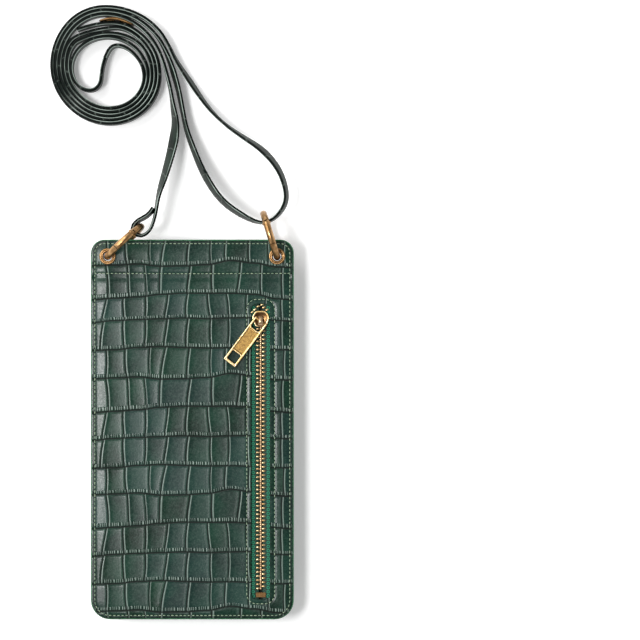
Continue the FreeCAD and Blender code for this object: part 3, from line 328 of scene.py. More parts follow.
def strip_profile(wide, thick, radius=0.45, steps=3, spacing=2.4):
    """Closed section (across, up) of a flat strip with rounded edges, counter-clockwise."""
    corners = []
    for cx, cy, start in ((1, 1, 0), (-1, 1, 90), (-1, -1, 180), (1, -1, 270)):
        for i in range(steps + 1):
            turn_by = heading(start + 90 * i / steps) * radius
            corners.append(turn_by + np.array([cx * (thick / 2 - radius), cy * (wide / 2 - radius)]))
    rows = []
    for here, after in zip(corners, corners[1:] + corners[:1]):
        count = max(1, int(np.linalg.norm(after - here) / spacing))
        rows += [here + (after - here) * i / count for i in range(count)]
    return np.array(rows)


# Lean in degrees at millimetres of run
LEANS = {"strap_a": ((0, 6), (30, 6), (44, 10), (54, 20), (78, 30), (100, 8), (125, 0)),
         "strap_b": ((0, 0), (14, 12), (40, 17), (75, 10), (100, 14), (125, 0)),
         "strap_c": ((0, 0), (14, -8), (45, -16), (75, -4), (100, -12), (125, 0))}


def swept_strip(name, points, profile):
    """Strip along the points, upright but for its lean; keeps length along it and height across it."""
    ahead = np.gradient(points, axis=0)
    flat_side = np.column_stack([-ahead[:, 1], ahead[:, 0], np.zeros(len(points))])
    flat_side /= np.linalg.norm(flat_side, axis=1)[:, None]
    run = run_along(points)
    lean_by = np.radians(np.interp(run / MM, *np.array(LEANS[name], float).T))[:, None]
    up = np.array([0, 0, 1])
    side = flat_side * np.cos(lean_by) + up * np.sin(lean_by)
    tall = up * np.cos(lean_by) - flat_side * np.sin(lean_by)
    count, around = len(points), len(profile)
    section = profile * MM
    side *= np.interp(run / MM, SWELL_RUN, (1.0, COIL_SWELL))[:, None]
    vertices = points[:, None] + side[:, None] * section[None, :, :1] + tall[:, None] * section[None, :, 1:]
    first, last = np.arange(around), np.arange(around) + (count - 1) * around
    faces = list(quads(count, around, ring=True, flip=True)) + [first, last[::-1]]
    through, across = (profile / (STRAP_THICK / 2, STRAP_WIDTH / 2)).T
    return mesh_object(name, vertices.reshape(-1, 3), faces, None, along=np.repeat(run, around),
                       across=np.tile(across, count), through=np.tile(through, count))


profile = strip_profile(STRAP_WIDTH, STRAP_THICK)
paths = {name: smooth_line(name, line) for name, line in lines.items()}
straps = {name: swept_strip(name, points, profile) for name, points in paths.items()}
for strap in straps.values():
    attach(strap, "pouch")
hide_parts("strap_lead", "strap_coil")
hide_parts("strap_tail")
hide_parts("strap_through_ring")

# %% [markdown]
# ## Materials
#
# Everything is procedural. A small class gives node trees short names, so that each finish reads as a
# recipe. Effects that several finishes share are node groups with named inputs.


# %% Material helpers
def srgb(text):
    """Linear colour from six hexadecimal digits."""
    values = [int(text[i:i + 2], 16) / 255 for i in (0, 2, 4)]
    return tuple(v / 12.92 if v <= 0.04045 else ((v + 0.055) / 1.055) ** 2.4 for v in values) + (1.0,)


def join(tree, value, socket):
    """Links a socket's value, or sets it where the value is plain."""
    if isinstance(value, bpy.types.NodeSocket):
        tree.links.new(value, socket)
    else:
        socket.default_value = value


def add_node(tree, kind, inputs, settings):
    node = tree.nodes.new(kind)
    for key, value in settings.items():
        setattr(node, key, value)
    for key, value in dict(inputs).items():
        join(tree, value, node.inputs[key])
    return node


class Tree:
    """Short names for building a shader's node tree."""

    def __init__(self, tree):
        self.tree = tree
        self.shader = tree.nodes.get("Principled BSDF")

    def join(self, value, socket):
        join(self.tree, value, socket)

    def add(self, kind, inputs=(), out=0, **settings):
        node = add_node(self.tree, "ShaderNode" + kind, inputs, settings)
        return node.outputs if out is None else node.outputs[out]

    def set(self, **inputs):
        for key, value in inputs.items():
            self.join(value, self.shader.inputs[key.replace("_", " ")])

    def value(self, name):
        return self.add("Attribute", out=2, attribute_name=name)

    def noise(self, scale, detail=3.0):
        return self.add("TexNoise", {"Vector": self.add("TexCoord", out=3), "Scale": scale, "Detail": detail})

    def math(self, operation, a, b=0.5, clamp=False):
        return self.add("Math", {0: a, 1: b}, operation=operation, use_clamp=clamp)

    def times(self, a, b):
        return self.math("MULTIPLY", a, b)

    def mix(self, factor, a, b):
        return self.add("Mix", {0: factor, 6: a, 7: b}, out=2, data_type="RGBA")

    def ramp(self, value, low, high):
        """Rises from 0 at low to 1 at high; with low above high it falls."""
        return self.add("MapRange", {0: value, 1: low, 2: high})

    def between(self, value, a, b, c, d):
        return self.times(self.ramp(value, a, b), self.ramp(value, d, c))

    def bump(self, height, distance):
        return self.add("Bump", {"Height": height, "Distance": distance})

    def group(self, tree, **inputs):
        return self.add("Group", inputs, None, node_tree=tree)


def new_material(name):
    material = bpy.data.materials.new(name)
    material.use_nodes = True
    return material, Tree(material.node_tree)


def new_group(name, inputs, outputs):
    """Empty shader group with (name, kind) sockets: its tree, and its inner ends."""
    tree = bpy.data.node_groups.new(name, "ShaderNodeTree")
    for side, sockets in (("INPUT", inputs), ("OUTPUT", outputs)):
        for label, kind in sockets:
            tree.interface.new_socket(label, in_out=side, socket_type="NodeSocket" + kind)
    given, result = tree.nodes.new("NodeGroupInput"), tree.nodes.new("NodeGroupOutput")
    return tree, Tree(tree), given.outputs, result.inputs


print("material helpers ready")

# %% [markdown]
# Two groups carry most of the surface detail. Leather has a fine grain over slow clouds of colour. Old
# plating is mottled: bright where it is rubbed, brown in specks. Each material places a group with its
# own values.

# %% Shared effects
GRAIN, t, given, result = new_group(
    "leather_grain", [("Fine", "Float"), ("Cloud", "Float"), ("Relief", "Float")],
    [("Grain", "Float"), ("Cloud", "Float"), ("Normal", "Vector")])
fine = t.noise(given["Fine"])
t.join(fine, result["Grain"])
t.join(t.ramp(t.noise(given["Cloud"], 2.0), 0.35, 0.65), result["Cloud"])
t.join(t.bump(t.math("ADD", t.times(fine, 0.18), given["Relief"]), 0.00012), result["Normal"])

PATINA, t, given, result = new_group(
    "patina", [("Bright", "Color"), ("Dull", "Color"), ("Scale", "Float")],
    [("Color", "Color"), ("Roughness", "Float"), ("Normal", "Vector")])
mottle, speck = t.noise(given["Scale"], 4.0), t.noise(t.times(given["Scale"], 6.0), 2.0)
tint = t.mix(t.ramp(mottle, 0.34, 0.66), given["Dull"], given["Bright"])
t.join(t.mix(t.times(t.ramp(speck, 0.56, 0.8), 0.35), tint, srgb("3b2a16")), result["Color"])
t.join(t.add("MapRange", {0: mottle, 1: 0.3, 2: 0.7, 3: 0.42, 4: 0.26}), result["Roughness"])
t.join(t.bump(speck, 0.00002), result["Normal"])
print("groups:", GRAIN.name, "and", PATINA.name)

# %% [markdown]
# Embossed leather is dark bottle green. Its creases are thin: a black line of painted shade, with a pale
# line of painted highlight to the right of it, for the light on the crease's lip. The lower end of each row
# carries a fringe of small raised ticks: pale strokes of painted highlight, some fainter than others, with
# notches of painted shade between them. All of them come from the counts that the emboss writes into the
# mesh, and they also press into the surface as a bump. A picture could give them as well, but not as
# sharply at every distance.

# %% Embossed leather
EMBOSSED, t = new_material("embossed_leather")
column, line = t.value("column"), t.value("line")
in_scale, in_row = (t.add("Math", {0: count}, operation="FRACT") for count in (column, line))
# Painted shade: where the counts pass whole numbers lie the creases, coloured near black below for the shade
# in them.
upright_crease_shade = t.ramp(t.math("PINGPONG", column, 0.5), 0.04, 0.014)
row_crease_shade = t.ramp(t.math("PINGPONG", line, 0.5), 0.042, 0.014)
crease_shade = t.math("MAXIMUM", upright_crease_shade, row_crease_shade)
# Painted highlight: a pale line just right of each upright crease, and a faint one before the next, for light
# on the crease's lip.
highlight_line = t.math("MAXIMUM", t.between(in_scale, 0.035, 0.05, 0.075, 0.105),
                t.times(t.between(in_scale, 0.84, 0.93, 0.945, 0.965), 0.15))
# Ticks at the lower end of each row: the raised ones are painted pale as highlight, with a noise for their
# uneven strength, and the notches between are painted dark as shade.
beat, fringe = t.math("PINGPONG", t.value("beat"), 0.62), t.between(in_row, 0.845, 0.875, 0.95, 0.97)
tick_glint_strength = t.add("MapRange", {0: t.noise(130.0), 1: 0.36, 2: 0.6, 3: 0.25, 4: 1.0})
tick, notch = t.times(t.times(fringe, tick_glint_strength), t.ramp(beat, 0.3, 0.5)), t.times(fringe, t.ramp(beat, 0.28, 0.1))
relief = t.math("SUBTRACT", t.math("ADD", highlight_line, tick), t.math("ADD", crease_shade, notch))
grain = t.group(GRAIN, Fine=1400.0, Cloud=60.0, Relief=relief)
skin = t.mix(grain["Cloud"], srgb("0a1f15"), srgb("153527"))
skin = t.mix(t.times(t.value("tone"), 0.4), skin, srgb("253c3d"))
skin = t.mix(t.times(t.ramp(t.noise(700.0, 2.0), 0.4, 0.75), 0.25), skin, srgb("41584d"))
# Painted highlight: pale colour on the crease lips and on the raised ticks.
skin = t.mix(t.times(t.math("MAXIMUM", t.times(highlight_line, 0.65), tick), 0.66), skin, srgb("a3b4aa"))
# Painted shade: near-black colour in the creases and in the notches between ticks.
skin = t.mix(t.times(t.math("MAXIMUM", crease_shade, t.times(notch, 0.7)), 0.92), skin, srgb("040d08"))
skin = t.mix(t.times(t.value("hem"), 0.5), skin, srgb("06180f"))
rough = t.add("MapRange", {0: grain["Grain"], 1: 0.3, 2: 0.7, 3: 0.2, 4: 0.31})
rough = t.math("ADD", rough, t.times(crease_shade, 0.4), True)
t.set(Base_Color=skin, Roughness=rough, Normal=grain["Normal"], Specular_IOR_Level=0.22)
print("embossed leather:", len(t.tree.nodes), "nodes")

# %% [markdown]
# The strap is plain leather of the same green, darker, with a pale line of painted highlight along one
# side of its top edge and a faint crease here and there. Its pale line needs only the shares that the
# strip carries. Painted edges, thread and lining are simpler: two colours mixed by a noise are enough for
# what is a millimetre wide.

# %% Strap, paint, thread and lining
STRAP, t = new_material("strap_leather")
edge = t.ramp(t.math("ABSOLUTE", t.value("across")), 0.9, 0.97)
# Painted highlight: a pale line on the outer side of the strip's top edge.
highlight_line = t.times(edge, t.ramp(t.value("through"), 0.5, 0.72))
wander = t.math("ADD", t.value("along"), t.times(t.noise(90.0), 0.012))
crease = t.ramp(t.math("PINGPONG", wander, 0.008), 0.0005, 0.0001)
grain = t.group(GRAIN, Fine=1300.0, Cloud=120.0, Relief=t.times(crease, -1.0))
face = t.mix(grain["Cloud"], srgb("07120c"), srgb("14241b"))
face = t.mix(edge, face, srgb("030a07"))
# Mixes in the pale painted highlight, broken up by a noise.
face = t.mix(t.times(t.times(highlight_line, t.ramp(t.noise(60.0), 0.3, 0.55)), 0.85), face, srgb("b4c3ba"))
face = t.mix(t.times(crease, 0.12), face, srgb("a9b8ae"))
t.set(Base_Color=face, Roughness=0.45, Normal=grain["Normal"], Specular_IOR_Level=0.06)

PAINT, t = new_material("edge_paint")
t.set(Base_Color=t.mix(t.ramp(t.noise(300.0), 0.35, 0.65), srgb("03421f"), srgb("086233")), Roughness=0.42)
THREAD, t = new_material("thread")
t.set(Base_Color=t.mix(t.ramp(t.noise(1500.0), 0.4, 0.6), srgb("647f68"), srgb("a2b396")), Roughness=0.8)
# Near-black beads of painted shade stand for the needle holes, which are not cut into the leather.
HOLE_SHADE, t = new_material("stitch_hole_shade")
t.set(Base_Color=t.mix(t.noise(900.0), srgb("010302"), srgb("0a140e")), Roughness=0.9)
LINING, t = new_material("lining")
grain = t.group(GRAIN, Fine=2400.0, Cloud=150.0, Relief=0.0)
weft = t.mix(grain["Cloud"], srgb("0a1711"), srgb("14281f"))
t.set(Base_Color=weft, Roughness=0.85, Normal=grain["Normal"])
print([m.name for m in (STRAP, PAINT, THREAD, HOLE_SHADE, LINING)])

# %% [markdown]
# The zip's tape is woven: slanting ribs, and a row of chain loops on each side of the teeth. Real threads
# would need many faces, so waves along and across the tape draw them. The metals share the patina and
# differ in colour: copper brown on rings and eyelets, gold on the pull, pale gold on the teeth.

# %% Tape and brass
CHAIN, TOOTH_PITCH, LOOP_AWAY = 35.4, 2.13, 0.0039
TAPE, t = new_material("zip_tape")
where = t.add("SeparateXYZ", {0: t.add("TexCoord", out=3)}, None)
aside = t.math("ABSOLUTE", t.math("SUBTRACT", where[0], CHAIN * MM))
slant = t.math("ADD", t.times(where[1], 5200.0), t.times(t.math("PINGPONG", where[0], 0.0011), 3800.0))
rib = t.ramp(t.add("Math", {0: slant}, operation="SINE"), -1.0, 1.0)
off, step = t.math("SUBTRACT", aside, LOOP_AWAY), t.math("PINGPONG", where[1], TOOTH_PITCH / 2 * MM)
spread = t.math("SQRT", t.math("ADD", t.times(off, off), t.times(step, step)))
loop = t.between(spread, 0.0003, 0.0005, 0.0008, 0.001)
weave = t.math("MAXIMUM", t.times(rib, 0.22), loop)
woven = t.mix(weave, srgb("02160f"), srgb("11805f"))
t.set(Base_Color=woven, Roughness=0.7, Normal=t.bump(weave, 0.0003))


def plating(name, bright, dull, scale=380.0, metallic=1.0):
    material, t = new_material(name)
    patina = t.group(PATINA, Bright=srgb(bright), Dull=srgb(dull), Scale=scale)
    t.set(Base_Color=patina["Color"], Metallic=metallic)
    t.set(Roughness=patina["Roughness"], Normal=patina["Normal"])
    return material


BRASS = plating("antique_brass", "c29a6c", "8a673f")
DARK_BRASS = plating("brown_brass", "8d6b45", "553d25")
PULL = plating("pull_brass", "b18d4c", "785a2d", 900.0, 0.7)
RIM = plating("rubbed_brass", "ffe6b4", "dcb673", 500.0, 0.75)
TEETH = plating("zip_teeth", "dcc596", "ad8a58", 700.0, 0.9)
SPINE = plating("tooth_heads", "cdb38f", "8d7052", 900.0, 0.8)
SNAP = plating("snap_brass", "d8ba78", "a98848", 260.0)
print([m.name for m in (TAPE, BRASS, DARK_BRASS, PULL, RIM, TEETH, SPINE, SNAP)])

# %% [markdown]
# The strips were swept before any finish existed, so they take their leather here. On the real pouch the
# strap is cut from the same hide as the body and its edges are burnished. The pale line on one side of
# their top edge is painted highlight.

# %% Strap leather
for strap in straps.values():
    strap.data.materials.append(STRAP)
print("dressed:", sorted(straps))

# %% [markdown]
# ## The embossed skin
#
# The crocodile emboss has four kinds of row that repeat down the panel. Each kind has its own upright
# creases, some leaning, and the long creases between rows wander by a millimetre or two. Each scale is a
# shallow dish: it falls away from the crease on its left and rises slowly to the one on its right.
# Sculpting would take days, so a function gives the height, and two running counts, of scales across and
# of rows down. A material can draw a line as thin as it likes where such a count passes a whole number,
# which a mesh of half a millimetre could not.

# %% Emboss
ROW_LINES = np.array([100.5, 85.1, 69.6, 57.2, 42.2, 26.7, 11.2, -3.8, -18.8, -33.3,
                      -48.8, -63.8, -78.8, -93.8, -108.8])
WAVE_AT = np.array([-52, -40, -28, -16, -4, 8, 20, 32, 44, 52])
WAVES = np.array([[-0.5, 0, 0.5, -0.7, -0.5, 0.2, 2.4, 1.0, -1.0, -1.3],
                  [-2.6, -1.8, -1.1, 0.3, 0.9, 0.8, 0.8, 0.3, -2.1, -2.6],
                  [-1.9, -0.8, -0.3, 0.1, 0.5, 0.1, 0.5, 0.7, -0.8, -1.1],
                  [-1.3, -1.0, 0.2, 0.7, 0.2, -0.1, 0.0, -0.3, -1.0, -1.0]])
# Middle and slant of each upright crease
CREASES = [[(-55, 0), (-44.1, 1.5), (-33.0, 2.0), (-24.4, 0.5), (-16.9, -1.6), (-1.9, -0.8), (10.2, 1.0),
            (24.0, -1.0), (35.5, 0.8), (46.5, -0.6), (57, 0)],
           [(-56, 0), (-45.6, -1.5), (-35.5, -0.3), (-24.4, -1.0), (-13.6, -1.0), (-2.9, -0.8), (8.6, 0.7),
            (18.2, 2.0), (28.3, 0.5), (37.0, -1.0), (45.9, -0.8), (57, 0)],
           [(-57, 0), (-46.7, -1.4), (-35.5, -0.3), (-24.6, -1.2), (-13.9, -1.0), (-2.7, -0.7), (9.7, 0.6),
            (18.5, 0.0), (28.8, 1.2), (38.0, 0.3), (45.9, -1.0), (57, 0)],
           [(-55, 0), (-44.6, 0.5), (-34.3, 1.0), (-21.8, 0.2), (-15.1, -2.2), (-2.2, -0.6), (9.7, 0.3),
            (16.9, 0.6), (29.3, 0.8), (39.0, -0.5), (47.5, 0.4), (58, 0)]]
LOW_SHARE, DISH, ROW_FALL, FALL_ABOVE, FALL_BELOW = 0.3, 0.24, 0.08, 2.5, 3.0
LONG_DEEP, LONG_WIDE, UPRIGHT_DEEP, UPRIGHT_WIDE = 0.32, 0.5, 0.26, 0.36


def smooth_wave(x, offsets):
    """Offsets joined by smooth steps."""
    i = np.clip(np.searchsorted(WAVE_AT, x) - 1, 0, len(WAVE_AT) - 2)
    t = np.clip((x - WAVE_AT[i]) / (WAVE_AT[i + 1] - WAVE_AT[i]), 0, 1)
    return offsets[i] + (offsets[i + 1] - offsets[i]) * t * t * (3 - 2 * t)


def bell(distance, width):
    return np.exp(-(distance / width) ** 2)


def emboss(x, y, shift=0):
    """Height of the skin, never above zero, and the marks for its material, at points on the board."""
    kinds = len(CREASES)
    lines = np.array([high + smooth_wave(x, WAVES[(k + 3 + shift) % kinds])
                      for k, high in enumerate(ROW_LINES)])
    row = np.clip((lines > y).sum(0) - 1, 0, len(ROW_LINES) - 2)
    above = np.take_along_axis(lines, row[None], 0)[0] - y
    below = y - np.take_along_axis(lines, row[None] + 1, 0)[0]
    share = np.clip(below / (above + below), 0, 1)
    left, right, number = (np.zeros(x.shape) for _ in range(3))
    for kind in range(kinds):
        here = (row + 3 + shift) % kinds == kind
        middle, slant = np.array(CREASES[kind]).T[:, :, None]
        offsets = x[here] - middle - slant * (0.5 - share[here]) - 0.5 * np.sin(share[here] * 3 + middle)
        before = np.clip((offsets > 0).sum(0) - 1, 0, len(middle) - 2)
        left[here] = np.take_along_axis(offsets, before[None], 0)[0]
        right[here] = -np.take_along_axis(offsets, before[None] + 1, 0)[0]
        number[here] = before
    across = np.clip(left / (left + right), 0, 1)
    dish = np.where(across > LOW_SHARE, (across - LOW_SHARE) / (1 - LOW_SHARE), 1 - across / LOW_SHARE) ** 2
    fall = np.clip(1 - above / FALL_ABOVE, 0, 1) ** 2 + np.clip(1 - below / FALL_BELOW, 0, 1) ** 2
    long_crease = bell(np.minimum(above, below), LONG_WIDE)
    upright = bell(np.minimum(left, right), UPRIGHT_WIDE)
    height = DISH * (dish - 1) - ROW_FALL * fall - LONG_DEEP * long_crease - UPRIGHT_DEEP * upright
    marks = {"column": number + across, "line": row + 1 - share,
             "tone": np.modf(np.abs(np.sin(number * 12.9898 + row * 78.233) * 43758.5453))[0],
             "beat": x + 0.35 * np.sin(x * 1.1 + row * 2.1) + row * 0.7}
    return height, marks


print("rows:", len(ROW_LINES) - 1, "kinds:", len(CREASES))

# %% [markdown]
# The zip panel covers the whole board apart from the window and the eyelet holes. It stops half a
# millimetre short of the edge, where the painted band begins. A flat plate with holes cut by Booleans
# would do for the outline, but a fine grid is needed anyway to carry the emboss.

# %% Zip panel
HALF_WIDE, HALF_TALL, EDGE = 52.5, 98.25, 0.55
CORNERS = (7.0, 10.0)
WINDOW = ((CHAIN, -11.4), (5.0, 76.5), (3.0, 3.0))
WINDOW_SEAM = (WINDOW[0], (7.2, 78.7), (5.0, 5.0))
BOARD_TOP, BOARD_LOW, PILLOW, PILLOW_WIDE = 20.5, 15.5, 0.75, 8.0
EYELET_HOLE, SEAM_IN, SEAM_Y, SEAM_DEEP, SEAM_WIDE = 2.85, 2.1, 80.75, 0.16, 0.55
CALM, RIM_REACH, RIM_DEEP, SKIN_STEP = 1.2, 1.1, 0.18, 0.52


def board_outline(x, y, inset=0.0):
    corners = tuple(max(radius - inset, 0.1) for radius in CORNERS)
    return rounded_box(x, y, (0, 0), (HALF_WIDE - inset, HALF_TALL - inset), corners)


def eyelet_holes(x, y):
    return np.minimum(*(disc(x, y, place, EYELET_HOLE) for place in EYELET.values()))


def zip_outline(x, y):
    cut_out = np.minimum(rounded_box(x, y, *WINDOW), eyelet_holes(x, y))
    return np.maximum(board_outline(x, y, EDGE), -cut_out)


def rim_fall(distance, reach=RIM_REACH, depth=RIM_DEEP):
    """Lets the skin round down towards an edge."""
    return -depth * np.clip(1 + distance / reach, 0, 1) ** 2


def seam_dip(x, y):
    """The skin sinks where stitches pull it: round the edge, the window and across the top seam."""
    seams = np.stack([board_outline(x, y, SEAM_IN), rounded_box(x, y, *WINDOW_SEAM), y - SEAM_Y])
    return -SEAM_DEEP * bell(np.abs(seams).min(0), SEAM_WIDE) - 0.28 * bell(y - 78.7, 1.7)


def pillow(x, y):
    """The padded panel falls away over the last few millimetres to its edge."""
    return -PILLOW * np.clip(1 + board_outline(x, y) / PILLOW_WIDE, 0, 1) ** 2


def hem(x, y):
    return {"hem": np.clip((board_outline(x, y) + 1.9) / 0.5, 0, 1)}


points, faces = fitted_grid(zip_outline, (-HALF_WIDE, -HALF_TALL), (HALF_WIDE, HALF_TALL), SKIN_STEP)
x, y = points.T
height, marks = emboss(x, y)
calm = np.clip(-zip_outline(x, y) / CALM, 0, 1)
z = BOARD_TOP + pillow(x, y) + height * calm + seam_dip(x, y) * calm + rim_fall(zip_outline(x, y))
zip_skin = mesh_object("zip_skin", in_frame(level(points, z)), faces, EMBOSSED, **marks, **hem(x, y))
dress(zip_skin, "embossed_leather", "zip_panel")
print("zip skin:", len(faces), "faces")

# %% [markdown]
# A painted band closes the edge of the board all round, with rounded shoulders that show as a thin green
# line from above. The same sweep makes the turned wall of the zip window.


# %% Painted edges
def rounded_path(centre, half, radii, step=1.0):
    """Closed outline, counter-clockwise from the right: points and outward normals."""
    places, normals = [], []
    for sx, sy, start in ((1, 1, 0), (-1, 1, 90), (-1, -1, 180), (1, -1, 270)):
        radius = radii[0] if sy > 0 else radii[1]
        count = max(4, int(radius * math.pi / 2 / step))
        for i in range(count + 1):
            normals.append(heading(start + 90 * i / count))
            places.append((sx * (half[0] - radius), sy * (half[1] - radius)) + normals[-1] * radius + centre)
    return np.array(places), np.array(normals)


def swept_loop(name, path, normals, section, material, closed=True):
    """Band whose section is (outward, z) points, swept round a path."""
    section = np.array(section, float)
    count, around = len(path), len(section)
    xy = path[:, None] + normals[:, None] * section[None, :, :1]
    z = np.broadcast_to(section[None, :, 1:], (count, around, 1))
    vertices = in_frame(np.concatenate([xy, z], 2).reshape(-1, 3))
    return mesh_object(name, vertices, quads(count, around, loop=closed, flip=True), material)


def shoulder(outward, z, radius, start, steps=4):
    return [(outward, z) + heading(start - 90 * i / steps) * radius for i in range(steps + 1)]


path, normals = rounded_path((0, 0), (HALF_WIDE, HALF_TALL), CORNERS)
top = BOARD_TOP - PILLOW
section = [(-EDGE - 0.1, top - 0.25)] + shoulder(-EDGE, top - EDGE - 0.12, EDGE, 90)
section += shoulder(-EDGE, BOARD_LOW + EDGE + 0.12, EDGE, 0) + [(-EDGE - 0.1, BOARD_LOW + 0.25)]
edge_band = swept_loop("edge_band", path, normals, section[::-1], PAINT)
dress(edge_band, "embossed_leather", "top_reinforcement")

path, normals = rounded_path(*WINDOW)
section = [(0.02, BOARD_TOP - 0.2), (-0.12, BOARD_TOP - 0.5), (-0.05, BOARD_TOP - 1.2)]
window_wall = swept_loop("window_wall", path, normals, section, EMBOSSED)
dress(window_wall, "embossed_leather")
print("edge band:", len(edge_band.data.polygons), "faces")

# %% [markdown]
# ## Stitches
#
# The real seams are sewn with a thick pale thread. One node group lays stitches along any line: it walks
# along the line by a pitch and puts a short, thick thread on each step, with a little turn of its own.
# Half a pitch further on lies a small near-black bead, painted shade for the hole that the needle left.
# An array modifier could repeat a stitch too, but it would not turn each one.


# %% Stitch nodes
def empty_group(name, *sockets):
    """Geometry group with (name, kind) inputs, one geometry output, and a function that adds nodes."""
    group = bpy.data.node_groups.new(name, "GeometryNodeTree")
    for label, kind in (("Geometry", "Geometry"),) + sockets:
        group.interface.new_socket(label, in_out="INPUT", socket_type="NodeSocket" + kind)
    group.interface.new_socket("Geometry", in_out="OUTPUT", socket_type="NodeSocketGeometry")
    given = group.nodes.new("NodeGroupInput").outputs

    def add(kind, inputs=(), **settings):
        return add_node(group, kind, inputs, settings)

    return group, given, add


def stitch_nodes():
    group, given, add = empty_group("stitches", ("Pitch", "Float"), ("Length", "Float"), ("Width", "Float"),
                                    ("Turn", "Float"), ("Thread", "Material"), ("Hole", "Material"))
    bead = add("GeometryNodeMeshUVSphere", {"Segments": 8, "Rings": 6, "Radius": 0.5}).outputs[0]
    dot = add("GeometryNodeMeshUVSphere", {"Segments": 6, "Rings": 4, "Radius": 0.5}).outputs[0]
    half = add("ShaderNodeMath", {0: given["Pitch"], 1: 0.5}, operation="MULTIPLY").outputs[0]
    gap = add("ShaderNodeMath", {0: given["Pitch"], 1: given["Length"]}, operation="SUBTRACT").outputs[0]
    long = add("ShaderNodeCombineXYZ", {0: given["Width"], 1: given["Width"], 2: given["Length"]}).outputs[0]
    short = add("ShaderNodeCombineXYZ", {0: given["Width"], 1: given["Width"], 2: gap}).outputs[0]
    beyond = add("ShaderNodeCombineXYZ", {2: half}).outputs[0]
    thread = add("GeometryNodeTransform", {0: bead, "Scale": long}).outputs[0]
    # The small bead half a pitch on is painted shade for the needle hole.
    hole = add("GeometryNodeTransform", {0: dot, "Translation": beyond, "Scale": short}).outputs[0]
    hole = add("GeometryNodeSetMaterial", {0: hole, "Material": given["Hole"]}).outputs[0]
    both = add("GeometryNodeJoinGeometry")
    for part in (hole, thread):
        group.links.new(part, both.inputs[0])
    steps = add("GeometryNodeCurveToPoints", {0: given["Geometry"], "Length": given["Pitch"]}, mode="LENGTH")
    put = add("GeometryNodeInstanceOnPoints", {"Points": steps.outputs["Points"], "Instance": both.outputs[0],
                                               "Rotation": steps.outputs["Rotation"]})
    least = add("ShaderNodeMath", {0: given["Turn"], 1: -1.0}, operation="MULTIPLY").outputs[0]
    chance = add("FunctionNodeRandomValue", {2: least, 3: given["Turn"], "Seed": 7}, data_type="FLOAT")
    turn_by = add("ShaderNodeCombineXYZ", {0: chance.outputs[1]}).outputs[0]
    twist = add("GeometryNodeRotateInstances", {0: put.outputs[0], "Rotation": turn_by})
    real = add("GeometryNodeRealizeInstances", {0: twist.outputs[0]})
    smooth = add("GeometryNodeSetShadeSmooth", {0: real.outputs[0]})
    dark = add("GeometryNodeMaterialSelection", {0: given["Hole"]}).outputs[0]
    pale = add("FunctionNodeBooleanMath", {0: dark}, operation="NOT").outputs[0]
    coat = add("GeometryNodeSetMaterial", {0: smooth.outputs[0], "Selection": pale,
                                           "Material": given["Thread"]})
    add("NodeGroupOutput", {0: coat.outputs[0]})
    return group


def along_line(name, line, group, closed=False, **values):
    """Plain mesh of what a node group lays along a line in metres; values are its named inputs."""
    curve = bpy.data.curves.new(name, "CURVE")
    curve.dimensions = "3D"
    spline = curve.splines.new("POLY")
    spline.points.add(len(line) - 1)
    spline.points.foreach_set("co", level(line, 1.0).ravel())
    spline.use_cyclic_u = closed
    guide = bpy.data.objects.new(name + "_guide", curve)
    scene.collection.objects.link(guide)
    modifier = guide.modifiers.new(group.name, "NODES")
    modifier.node_group = group
    sockets = {item.name: item.identifier for item in group.interface.items_tree if item.in_out == "INPUT"}
    for key, value in values.items():
        modifier[sockets[key]] = value
    bpy.context.view_layer.update()
    mesh = bpy.data.meshes.new_from_object(guide.evaluated_get(bpy.context.evaluated_depsgraph_get()))
    guide.modifiers.remove(modifier)
    bpy.data.objects.remove(guide)
    piece = bpy.data.objects.new(name, mesh)
    scene.collection.objects.link(piece)
    return piece


STITCHES = stitch_nodes()
STITCH_PITCH, STITCH_LONG, STITCH_WIDE, STITCH_TURN, SUNK = 2.15, 1.5, 0.44, 0.12, 0.1


def stitched(name, line, closed=False, body="pouch"):
    """Thread along a line, its pitch fitted to a whole number of stitches."""
    run = run_along(np.vstack([line, line[:1]]) if closed else line)[-1]
    thread = along_line(name, in_frame(line), STITCHES, closed, Pitch=run / round(run / STITCH_PITCH) * MM,
                        Length=STITCH_LONG * MM, Width=STITCH_WIDE * MM, Turn=STITCH_TURN,
                        Thread=THREAD, Hole=HOLE_SHADE)
    return dress(thread, "embossed_leather", body=body)


THREAD_TOP = BOARD_TOP - SUNK
ring_corners = [radius - SEAM_IN for radius in CORNERS]
ring_path, _ = rounded_path((0, 0), (HALF_WIDE - SEAM_IN, HALF_TALL - SEAM_IN), ring_corners)
window_path, _ = rounded_path(*WINDOW_SEAM)
stitched("stitch_edge", level(ring_path, THREAD_TOP + pillow(*ring_path.T)), True)
stitched("stitch_window", level(window_path, THREAD_TOP), True)
seam_x = np.linspace(-50, 50, 41)
seam_path = level(seam_x, SEAM_Y - 0.15 * bell(seam_x, 30))
stitched("stitch_seam", level(seam_path, THREAD_TOP + pillow(*seam_path.T)))
print("stitches on the seam:", round(np.ptp(seam_x) / STITCH_PITCH))

# %% [markdown]
# ## Zip
#
# Two woven tapes carry the teeth, and behind them the lining closes the pocket. The tapes are plain
# strips with a turned edge beside the teeth, because their weave is in the material.

